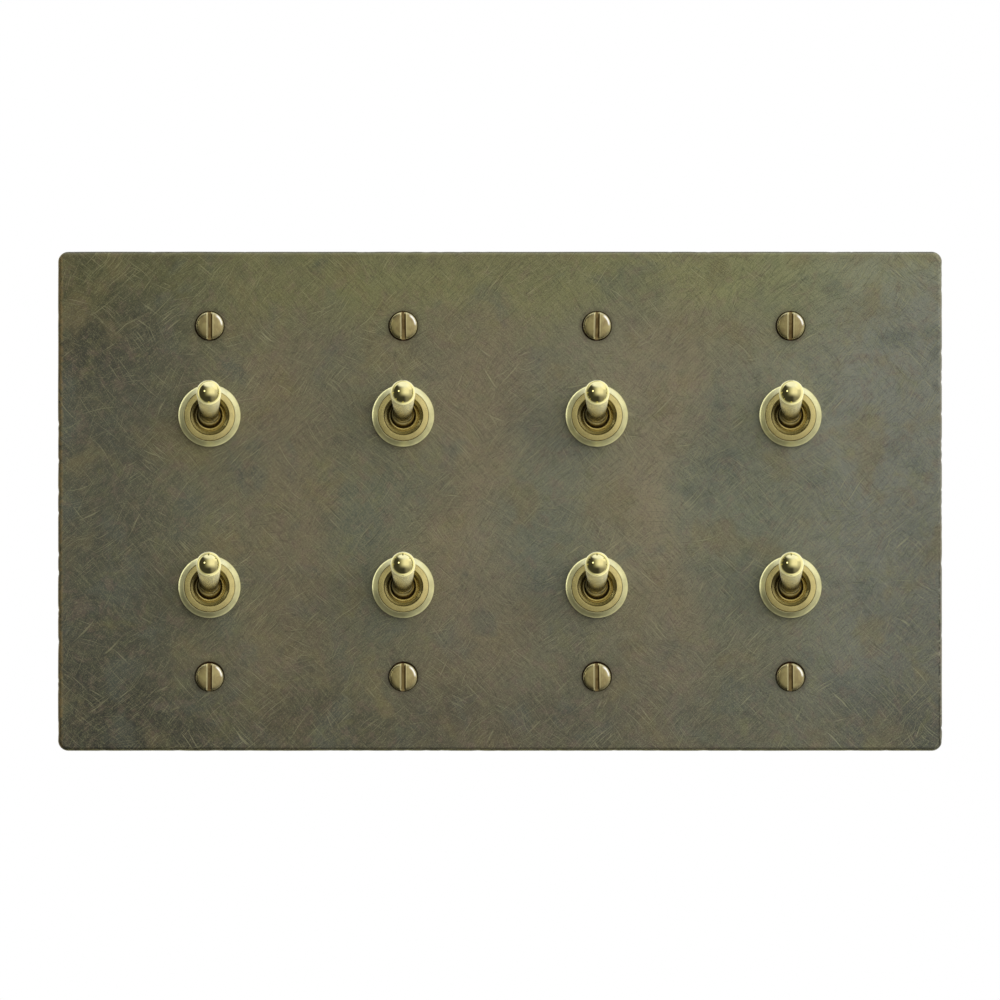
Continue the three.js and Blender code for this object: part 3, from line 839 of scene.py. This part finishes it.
COPPER = plated_metal("stamped_copper_alloy", (206, 132, 92), rough=0.32)
PHENOLIC = phenolic_material()
TERMINAL_BRASS = plated_metal("terminal_brass", (198, 172, 104), rough=0.30)


# ---------------------------------------------------------------- cover plate
def rim_wear(points):
    """How far each rim point lies inwards, from small dents and a slow waver."""
    rnd = random.Random(11)
    length = [0.0]
    for a, b in zip(points, points[1:]):
        length.append(length[-1] + (Vector(b) - Vector(a)).length)
    total = length[-1] + (Vector(points[0]) - Vector(points[-1])).length
    left = [at for at, p in zip(length, points) if p[0] < -HALF_W + 0.01]
    right = [at for at, p in zip(length, points) if p[0] > HALF_W - 0.01]

    # (place along the rim, half width, depth)
    dents = [(rnd.random() * total, rnd.uniform(0.35, 1.3), rnd.uniform(0.02, 0.10))
             for _ in range(95)]
    for part in (0.34, 0.42, 0.47, 0.52, 0.60, 0.66, 0.71, 0.80, 0.88):  # down the left side
        dents.append((left[0] + (left[-1] - left[0]) * part + rnd.uniform(-2, 2),
                      rnd.uniform(0.3, 0.7), rnd.uniform(0.12, 0.22)))
    for _ in range(16):
        dents.append((rnd.choice(right), rnd.uniform(0.3, 0.8), rnd.uniform(0.10, 0.20)))
    # (waves round the rim, phase, depth)
    waves = [(rnd.randint(3, 40), rnd.random() * 6.28, rnd.uniform(0.006, 0.02))
             for _ in range(10)]

    wear = []
    for at in length:
        depth = 0.0
        for centre, width, dent_depth in dents:
            away = abs(at - centre)
            away = min(away, total - away) / width
            if away < 2.2:
                depth = max(depth, dent_depth * exp(-away * away))
        for count, phase, wave_depth in waves:
            depth += wave_depth * (1 + sin(count * 2 * pi * at / total + phase)) * 0.5
        wear.append(depth)
    return wear


def hole_wall(shape, profile, segments, x, z):
    """The wall of a round hole, from (r, y) points."""
    rings = [ring_at(shape, circle(r, segments, x, z), y) for r, y in profile]
    skin(shape, rings)
    return rings


def build_plate():
    shape = bmesh.new()
    outline = round_rect(PLATE_W, PLATE_H, CORNER_R, 12, edge=0.5)
    wear = rim_wear(outline)
    # (y, inset, share of the wear), from the back to the front
    levels = [(0.0, 0.22, 0.3), (-0.07, 0.07, 0.5), (-0.22, 0.0, 0.7), (-1.1, 0.0, 0.8),
              (-PLATE_T + EDGE_R + 0.25, 0.0, 1.0)]
    for k in range(9):
        a = radians(90 * k / 8)
        levels.append((-PLATE_T + EDGE_R * (1 - sin(a)), EDGE_R * (1 - cos(a)),
                       1.0 - 0.75 * (k / 8) ** 2))
    rows = [ring_at(shape, inset(outline, [amount + depth * share for depth in wear]), y)
            for y, amount, share in levels]
    skin(shape, rows)

    # (inset, y) of the pocket behind each gang
    pocket_levels = ((-0.15, 0), (-0.05, -0.05), (0, -0.15), (0.0, -0.8), (0.06, -0.93),
                     (0.2, -1.0))
    toggle_r = 6.15
    # (r, y) of the toggle holes and the countersinks, from the front
    toggle_profile = ((toggle_r + 0.14, FACE), (toggle_r + 0.045, FACE + 0.045),
                      (toggle_r, FACE + 0.14), (toggle_r, -1.1), (toggle_r + 0.1, -1.0))
    sink_profile = ((3.62, FACE), (3.59, FACE + 0.02), (3.55, FACE + 0.07), (2.0, -1.15),
                    (1.95, -1.05), (1.95, -0.08), (2.05, 0.0))
    front_holes, back_holes = [], []
    for x in GANGS:
        pocket = [ring_at(shape, round_rect(34 - 2 * e, 68 - 2 * e, 5 - e, 10, x), y)
                  for e, y in pocket_levels]
        skin(shape, pocket)
        back_holes.append(pocket[0])
        floor_holes = []
        for side in (-1, 1):
            hole = hole_wall(shape, toggle_profile, 72, x, side * TOGGLE_PITCH / 2)
            front_holes.append(hole[0])
            floor_holes.append(hole[-1])
            sink = hole_wall(shape, sink_profile, 64, x, side * SCREW_PITCH / 2)
            front_holes.append(sink[0])
            back_holes.append(sink[-1])
        cap(shape, [pocket[-1]] + floor_holes)
    cap(shape, [rows[-1]] + front_holes)
    cap(shape, [rows[0]] + back_holes)
    return finish_mesh("cover_plate_worn", shape, PLATE_BRASS, 50, flat_y=True)


# ---------------------------------------------------------------- plate screws
CROWN_Y = FACE - 0.95   # the foremost point of a screw's head
# (r, y) of the head, from its middle over the crown to its widest part and back in
HEAD = [(0, CROWN_Y)] + [(r, CROWN_Y + drop) for r, drop in (
    (1.2, 0.05), (2.2, 0.145), (2.6, 0.20), (2.85, 0.27), (3.04, 0.36), (3.18, 0.48),
    (3.30, 0.64), (3.38, 0.80), (3.42, 0.93))] + [(3.40, FACE + 0.06), (3.32, FACE + 0.16)]


def head_y(radius):
    """The y of the head's surface at a radius."""
    for (r0, y0), (r1, y1) in zip(HEAD, HEAD[1:]):
        if r0 <= radius <= r1:
            return y0 + (y1 - y0) * (radius - r0) / (r1 - r0)
    return HEAD[-1][1]


def build_slot_cutter():
    """The slot's cutter follows the crown, so that its broken edges are even."""
    shape = bmesh.new()
    floor_y = CROWN_Y + 1.12
    rows = []
    for k in range(-24, 25):
        z = k * 4.4 / 24
        edge = min(head_y(abs(z)), CROWN_Y + 0.46)
        section = [(-0.38, floor_y), (-0.38, edge + 0.34), (-0.80, edge - 0.02),
                   (-0.80, CROWN_Y - 1), (0.60, CROWN_Y - 1), (0.60, edge - 0.02),
                   (0.30, edge + 0.30), (0.30, floor_y)]
        rows.append([shape.verts.new((x * MM, y * MM, z * MM)) for x, y in section])
    solid(shape, rows)
    return finish_mesh("screw_slot", shape, SCREW_BRASS)


def build_screw():
    shape = bmesh.new()
    profile = (HEAD + [(1.95, -1.55), (1.75, -1.2)] + stations(1.75, -0.9, 20.9, 0.132)
               + [(1.55, 21.2), (1.25, 21.5), (0, 21.5)])
    lathe(shape, profile, 48, radius_at=thread(0.794, 0.42, -1.0, 20.9, radii=(1.7, 1.8)))
    blank = finish_mesh("screw_blank", shape, SCREW_BRASS, 40)
    return cut(blank, build_slot_cutter(), "plate_screw_mesh", sharp=40)


# ---------------------------------------------------------------- dress nut, bushing, lever
def build_dress_nut():
    shape = bmesh.new()
    profile = round_corners([
        (6.08, FACE - 0.03), (7.38, FACE - 0.03, 0.12), (7.4, FACE - 1.35, 0.45),
        (7.12, FACE - 1.74, 0.5), (6.20, BUSH_FRONT + 0.01, 0.08),
        (6.08, BUSH_FRONT + 0.03, 0.04), (6.08, FACE - 1.3)], 6)
    lathe(shape, profile, 128, closed=True)
    return finish_mesh("dress_nut_mesh", shape, NUT_BRASS, 50)


def build_bushing():
    shape = bmesh.new()
    outer = [(4.6, 5.7), (5.99, 5.7), (5.99, 4.55)] + stations(
        5.99, THREAD_BACK, THREAD_FRONT, 0.12)
    # (r, depth behind the bushing's front, fillet radius): the lip and the stepped mouth
    mouth = [
        (6.01, 0.10, 0.05), (5.95, 0.05, 0.05), (5.3, -0.035, 0), (4.74, -0.10, 0.15),
        (4.52, 0.06, 0.08), (4.46, 0.16, 0.1), (3.92, 0.40, 0.2), (3.62, 0.92, 0.2),
        (3.52, 1.40, 0.2), (3.46, 1.84, 0.1), (3.34, 1.94, 0.08), (3.12, 1.98, 0.10),
        (3.0, 2.25, 0.1)]
    # (r, offset from the pivot): the socket round the lever's ball
    socket = [(3.0, -1.78), (3.3, -1.35), (3.5, -0.8), (3.55, 0.0), (3.55, 0.8), (4.6, 1.6)]
    inner = ([(r, BUSH_FRONT + depth, fillet) for r, depth, fillet in mouth]
             + [(r, PIVOT_Y + offset) for r, offset in socket])
    profile = outer + round_corners([outer[-1]] + inner, 5)[1:]
    lathe(shape, profile, 96, closed=True,
          radius_at=thread(0.75, 0.34, THREAD_FRONT, THREAD_BACK, radii=(5.9, 6.1)))
    return finish_mesh("bushing_mesh", shape, BUSH_BRASS, 42)


def build_lever():
    """A ball with a round tail behind it and a domed, tapering bat in front."""
    length, dome_r, ball_r, tail_r, tail_end = 19.66, 2.95, 3.3, 1.35, -11.4
    tip_r = 1.2
    profile = [(0, tail_end)]   # (r, distance from the pivot towards the front)
    for angle in (12, 25, 40, 55, 70, 80, 90):
        a = radians(angle)
        profile.append((tip_r * sin(a), tail_end + tip_r - tip_r * cos(a)))
    neck = sqrt(ball_r ** 2 - tail_r ** 2)
    profile += [(1.22, -9.6), (tail_r, -8.2), (tail_r, -5.0), (tail_r, -neck - 0.25),
                (1.42, -neck - 0.02)]
    tail_angle, bat_angle = degrees(asin(1.5 / ball_r)), degrees(asin(2.17 / ball_r))
    for i in range(25):
        a = radians(180 - tail_angle + (bat_angle - 180 + tail_angle) * i / 24)
        profile.append((ball_r * sin(a), ball_r * cos(a)))
    top = sqrt(ball_r ** 2 - 2.17 ** 2)
    bat_r, bat_start = 2.14, top + 0.3
    profile += [(2.13, top + 0.10), (bat_r, bat_start)]
    for i in range(1, 12):
        t = i / 12
        profile.append((bat_r + (dome_r * 0.998 - bat_r) * (t ** 1.05),
                        bat_start + (length - top - 0.3) * t))
    for i in range(18):
        a = radians(90 * i / 18)
        profile.append((dome_r * cos(a), length + dome_r * sin(a)))
    profile.append((0, length + dome_r))
    shape = bmesh.new()
    lathe(shape, [(r, -offset) for r, offset in profile], 96)
    bmesh.ops.rotate(shape, cent=(0, 0, 0), matrix=Matrix.Rotation(radians(-TILT), 3, "X"),
                     verts=shape.verts)
    return finish_mesh("lever_mesh", shape, LEVER_BRASS, 40)


# ---------------------------------------------------------------- behind the plate
def build_frame_strap():
    """The plated strap: a top plate staked round the bushing, and a bent leg down each side."""
    shape = bmesh.new()
    top_y = 4.5
    prism(shape, round_rect(17.2, 27.6, 1.2, 6), top_y, 5.55, bevel=0.12, hole=circle(6.02, 64))
    outside, inside, bend_r = 8.92, 8.18, 0.9
    # the leg's section (x, y), from the top plate's edge down the case
    section = [(8.30, 4.55), (outside - bend_r, top_y)]
    section += [(outside - bend_r + bend_r * sin(radians(a)),
                 top_y + bend_r - bend_r * cos(radians(a))) for a in (15, 30, 45, 60, 75, 90)]
    section += [(outside, 13.3), (outside - 0.15, 13.5), (inside + 0.1, 13.5), (inside, 13.35),
                (inside, 5.5), (8.1, 5.45)]
    for side in (-1, 1):
        rows = []
        for z, thinning in ((-7.9, 0.08), (-7.8, 0.0), (7.8, 0.0), (7.9, 0.08)):
            rows.append([shape.verts.new((
                side * (x - (thinning if x > 8.5 else -thinning) * 0.5) * MM, y * MM, z * MM))
                for x, y in section])
        solid(shape, rows)
    return finish_mesh("frame_strap_mesh", shape, ZINC, 35)


def build_lock_nut():
    """A hexagonal nut, its corners turned off to 30 degrees, with a countersunk bore."""
    across_flats, front, back, flat_r, bore_r, sink_r, segments = 14.3, -0.42, 1.2, 7.0, 6.06, 6.3, 96
    shape = bmesh.new()

    def ring(radius, y, slope=0.0):
        """A ring of the given radius, or round the hexagon when that is None."""
        out = []
        for j in range(segments):
            phi = 2 * pi * j / segments
            r = radius or across_flats / 2 / cos((phi + pi / 6) % (pi / 3) - pi / 6)
            out.append(shape.verts.new((r * sin(phi) * MM, (y + (r - flat_r) * slope) * MM,
                                        r * cos(phi) * MM)))
        return out

    fall = tan(radians(30))
    rings = [ring(bore_r, front + 0.24), ring(sink_r, front), ring(flat_r, front),
             ring(None, front, fall), ring(None, back, -fall),
             ring(flat_r, back), ring(sink_r, back), ring(bore_r, back - 0.24)]
    skin(shape, rings + rings[:1])
    return finish_mesh("lock_nut_mesh", shape, STEEL, 25)


def build_lock_washer():
    """A washer with 24 notches round its hole."""
    shape = bmesh.new()
    inner = []
    for i in range(24):
        a = 2 * pi * i / 24
        for step, r in ((0.0, 6.12), (0.11, 6.12), (0.13, 6.75), (0.235, 6.75)):
            inner.append((r * sin(a + step), r * cos(a + step)))
    prism(shape, circle(8.6, 96), -0.95, -0.47, bevel=0.07, hole=inner)
    return finish_mesh("lock_washer_mesh", shape, STEEL, 30)


def case_outline(amount, fluted):
    """The case's outline, inset by an amount, with grip flutes in its upper and lower sides."""
    flute_pitch, flute_r = 1.9, 0.62
    arcs = corner_arcs(16.0 - 2 * amount, 28.0 - 2 * amount, max(0.25, 0.8 - amount), 6)
    points = []
    for i, arc in enumerate(arcs):
        points += arc
        start, end = arc[-1], arcs[(i + 1) % 4][0]
        along_x = i % 2 == 0
        count = 100 if along_x else 60
        for k in range(1, count):
            x = start[0] + (end[0] - start[0]) * k / count
            z = start[1] + (end[1] - start[1]) * k / count
            if fluted and along_x:
                centre = round(x / flute_pitch) * flute_pitch
                if abs(centre) < 6.0 and abs(x - centre) < 0.52:
                    z -= copysign(sqrt(flute_r ** 2 - (x - centre) ** 2) - 0.34, z)
            points.append((x, z))
    return points


def build_case():
    """A moulded box with a cavity, a parting groove, grip flutes and barriers behind."""
    front = 5.75
    # (y, inset, fluted): up the cavity from its floor, over the rim and down the outside
    levels = [
        (CASE_FLOOR, 2.1, 0), (17.52, 1.8, 0), (17.3, 1.62, 0), (17.0, 1.6, 0), (6.05, 1.6, 0),
        (5.85, 1.52, 0), (front, 1.3, 0), (front, 0.3, 0), (5.83, 0.09, 0), (6.0, 0, 0),
        (7.1, 0, 0), (7.3, 0, 1), (14.1, 0, 1), (14.3, 0, 0), (15.17, 0, 0), (15.22, 0.06, 0),
        (15.25, 0.2, 0), (15.55, 0.2, 0), (15.58, 0.06, 0), (15.63, 0, 0), (18.9, 0, 0),
        (19.2, 0.05, 0), (19.45, 0.2, 0), (CASE_BACK, 0.5, 0)]
    shape = bmesh.new()
    solid(shape, [ring_at(shape, case_outline(amount, fluted), y)
                  for y, amount, fluted in levels])
    # barriers: (z, half width, height, half thickness, bevel)
    for z, half_w, height, half_t, bevel in (
            (-4.6, 7.6, 2.6, 0.45, 0.3), (4.6, 7.6, 2.6, 0.45, 0.3),
            (-13.35, 7.2, 1.5, 0.4, 0.28), (13.35, 7.2, 1.5, 0.4, 0.28)):
        add_box(shape, (-half_w, half_w), (CASE_BACK - 0.4, CASE_BACK + height),
                (z - half_t, z + half_t), bevel=bevel)
    return finish_mesh("switch_case_mesh", shape, PHENOLIC, 30, flat_y=True)


def build_contact_post(width, depth, front):
    """A contact standing on the case's floor: a pressed post on a wider foot."""
    half_w, half_d = width / 2, depth / 2
    shape = bmesh.new()
    add_box(shape, (-half_w, half_w), (front, CASE_FLOOR), (-half_d, half_d), bevel=0.2)
    add_box(shape, (-half_w - 0.8, half_w + 0.8), (CASE_FLOOR - 0.6, CASE_FLOOR - 0.02),
            (-half_d - 0.5, half_d + 0.5), bevel=0.18, segments=2)
    return finish_mesh("contact_post_mesh", shape, TERMINAL_BRASS, 30)


def build_terminal():
    """A pressed brass square with turned-up wire lips."""
    half = 3.75
    shape = bmesh.new()
    add_box(shape, (-3.8, 3.8), (19.62, 20.6), (-half, half), bevel=0.22)
    for lip_x in (-3.4, 3.4):
        add_box(shape, (lip_x - 0.4, lip_x + 0.4), (20.0, 21.5), (-half, half),
                bevel=0.18, segments=2)
    return finish_mesh("terminal_mesh", shape, TERMINAL_BRASS, 30)


def build_terminal_screw():
    """A pan head with a slot and a shorter cross slot."""
    shape = bmesh.new()
    profile = round_corners([
        (0, 22.6), (2.2, 22.55, 0.5), (2.9, 22.2, 0.35), (2.9, 20.95, 0.1), (2.2, 20.85),
        (1.5, 20.82), (1.5, 20.3), (0, 20.3)])
    lathe(shape, profile, 48)
    mesh = finish_mesh("terminal_screw_blank", shape, STEEL, 35)
    slot = box_cutter("ts_slot", STEEL, (-0.45, 0.45), (21.65, 24), (-4, 4))
    mesh = cut(mesh, slot, "terminal_screw_slot")
    cross = box_cutter("ts_cross", STEEL, (-1.7, 1.7), (21.75, 24), (-0.42, 0.42))
    return cut(mesh, cross, "terminal_screw_mesh")


def build_earth_block():
    """A block with a wire hole along X and a screw hole from behind."""
    shape = bmesh.new()
    add_box(shape, (-3.5, 3.5), (0.03, 8.0), (-4.5, 4.5), bevel=0.35)
    mesh = finish_mesh("earth_block_blank", shape, TERMINAL_BRASS)
    wire = bmesh.new()
    solid(wire, [[wire.verts.new((x * MM, (3.2 + cross) * MM, z * MM))
                  for cross, z in circle(1.8, 32)] for x in (-9, 9)])
    mesh = cut(mesh, finish_mesh("earth_wire_hole", wire, TERMINAL_BRASS), "earth_block_drilled")
    bore = bmesh.new()
    lathe(bore, [(0, 3.5), (1.85, 3.5), (1.85, 7.7), (2.2, 8.05), (2.2, 9), (0, 9)], 32)
    return cut(mesh, finish_mesh("earth_screw_hole", bore, TERMINAL_BRASS), "earth_block_mesh")


def build_earth_screw():
    shape = bmesh.new()
    head = round_corners([(0, 10.2), (2.5, 10.15, 0.4), (2.9, 9.8, 0.3), (2.9, 8.15, 0.1),
                          (1.7, 8.15)])
    profile = head + stations(1.7, 8.05, 5.4, 0.11) + [(1.3, 5.1), (0, 5.1)]
    lathe(shape, profile, 40, radius_at=thread(0.794, 0.35, 5.4, 8.05, radii=(1.6, 1.8)))
    mesh = finish_mesh("earth_screw_blank", shape, GREEN_ZINC, 35)
    slot = box_cutter("es_slot", GREEN_ZINC, (-0.5, 0.5), (9.1, 12), (-5, 5))
    return cut(mesh, slot, "earth_screw_mesh")


# ---------------------------------------------------------------- assembly
place("cover_plate_worn", build_plate(), replaces="cover_plate")

screw = build_screw()
dress_nut, bushing, strap, lever = (
    build_dress_nut(), build_bushing(), build_frame_strap(), build_lever())
lock_nut, washer, case = build_lock_nut(), build_lock_washer(), build_case()
terminal, terminal_screw = build_terminal(), build_terminal_screw()
fixed_post = build_contact_post(width=4.4, depth=3.0, front=11.35)
common_post = build_contact_post(width=4.0, depth=1.2, front=11.8)

# (name, the terminal's z, the post's z, the post), from the switch's middle
CONTACTS = (("a", 9.2, 7.4, fixed_post), ("common", 0.0, 0.0, common_post),
            ("b", -9.2, -7.4, fixed_post))
# (name, side, each plate screw's x and z from its hole, turns of the screws in degrees)
ROWS = (("upper", 1, 0.06, 0.04, (0.0, -0.8, 1.0, 0.6)),
        ("lower", -1, 0.0, -0.17, (0.5, 0.0, -0.6, -0.4)))

turns = random.Random(5)
for i, x in enumerate(GANGS, 1):
    for row, side, screw_dx, screw_dz, screw_turns in ROWS:
        tag = f"{row}{i}"
        z = side * TOGGLE_PITCH / 2
        place(f"plate_screw_{tag}_slotted", screw, x + screw_dx, 0,
              side * SCREW_PITCH / 2 + screw_dz, screw_turns[i - 1], f"plate_screw_{tag}")
        place(f"{tag}_dress_nut_turned", dress_nut, x, 0, z,
              turns.uniform(0, 360), f"{tag}_dress_nut")
        place(f"{tag}_bushing_threaded", bushing, x + 0.04, 0, z + 0.055,
              replaces=f"{tag}_bushing_frame")
        place(f"{tag}_frame_strap", strap, x, 0, z)
        place(f"{tag}_lock_nut_hex", lock_nut, x, 0, z,
              turns.uniform(-25, 25), f"{tag}_lock_nut")
        place(f"{tag}_lock_washer", washer, x, 0, z, turns.uniform(-25, 25))
        place(f"{tag}_case_moulded", case, x, 0, z, replaces=f"{tag}_switch_case")
        for key, terminal_z, post_z, post in CONTACTS:
            place(f"{tag}_terminal_{key}", terminal, x, 0, z + terminal_z)
            place(f"{tag}_contact_post_{key}", post, x, 0, z + post_z)
            place(f"{tag}_terminal_screw_{key}", terminal_screw, x, 0,
                  z + terminal_z, turns.uniform(-80, 80))
        place(f"{tag}_lever_bat", lever, x, PIVOT_Y, z,
              replaces=f"{tag}_lever", body=f"lever_{tag}")
        rocker = frame["nodes"][f"{tag}_rocker_contact"]
        rocker.data.materials.clear()
        rocker.data.materials.append(COPPER)

place("earth_block_drilled", build_earth_block(), GANG_PITCH,
      replaces="earth_terminal_block")
place("earth_screw_slotted", build_earth_screw(), GANG_PITCH, turn=20,
      replaces="earth_terminal_screw")


# ---------------------------------------------------------------- stage
def build_floor():
    shape = bmesh.new()
    bmesh.ops.create_grid(shape, x_segments=12, y_segments=12, size=1.5)
    for v in shape.verts:
        v.co.z = -0.165
    mesh = finish_mesh("studio_floor", shape, floor_material(), recalc=False)
    floor = add_object("studio_floor", mesh)
    floor.visible_glossy = False
    floor.visible_diffuse = False


def build_world():
    """White for the camera. For light, a bright surround behind the plate's plane, a large soft
    source to the upper right, and a dim room in front and to the left."""
    world = bpy.data.worlds.new("studio")
    bpy.context.scene.world = world
    graph = Graph(world, "ShaderNodeOutputWorld")
    direction = graph.node("ShaderNodeTexCoord", output="Generated").vector("NORMALIZE")
    x, y, z = direction.xyz()
    # the soft source, from just left of the lens to the far right and overhead
    source = x.ramp(-0.75, 0.45) * z.ramp(-0.72, 0.08)
    source = source * (1.0 - x.ramp(0.74, 0.98) * 0.45)
    low_left = (x * -0.66 + z * -0.75).ramp(0.70, 0.95)
    up_right = (x * 0.72 + z * 0.69).ramp(0.86, 0.98)
    spot_direction = Vector((-0.62, -0.74, 0.24)).normalized()
    spot = direction.vector("DOT_PRODUCT", spot_direction).ramp(0.988, 0.9975)
    light = x.ramp(0.10, 0.60) * 0.20 + 0.05
    for mask, level in (
            (source, 1.12), (z.ramp(0.75, 0.95), 1.18),
            (y.ramp(0.08, 0.34), 1.18 - low_left * 0.66),   # the surround behind the plate
            (up_right, 1.28), (spot, 2.7)):
        light = mix_value(mask, light, level)
    tint = mix(x.ramp(-0.4, 0.3), (0.98, 0.98, 0.80), (1.0, 0.985, 0.94))
    tint = mix(z.ramp(0.55, 0.90), tint, (0.98, 1.03, 1.24))
    lit = graph.node("ShaderNodeBackground", {"Color": tint.scaled(light)})
    white = graph.node("ShaderNodeBackground", {"Color": (1.0, 1.0, 1.0)})
    seen = graph.node("ShaderNodeLightPath", output="Is Camera Ray")
    graph.put(graph.surface, graph.node("ShaderNodeMixShader", {0: seen, 1: lit, 2: white}))


def build_key_light():
    """A square lamp to the upper right, aimed at the plate's middle."""
    light = bpy.data.lights.new("key_upper_right", "AREA")
    light.shape, light.size, light.size_y = "RECTANGLE", 1.0, 1.0
    light.energy, light.color, light.spread = 14.0, (1.0, 0.97, 0.90), radians(180)
    lamp = add_object("key_upper_right", light)
    lamp.location = (1.1, -0.75, 0.5)
    lamp.rotation_euler = (-Vector((1.1, -0.75, 0.5))).to_track_quat("-Z", "Y").to_euler()
    lamp.visible_glossy = False


def build_camera():
    distance, sensor, view_width = 6.0, 36.0, 0.23776  # m, mm, and m across the plate's face
    camera = bpy.data.cameras.new("camera")
    item = add_object("camera", camera)
    camera.sensor_width = sensor
    camera.lens = sensor * (distance - PLATE_T * MM) / view_width
    camera.clip_start, camera.clip_end = 0.1, 50
    item.location = (0.0, -distance, 0.0003)
    item.rotation_euler = (radians(90), 0, 0)
    bpy.context.scene.camera = item


build_floor()
build_world()
build_key_light()
build_camera()
view = bpy.context.scene.view_settings
view.view_transform = "Standard"
view.look = "None"
view.exposure = 0.0
view.gamma = 1.0
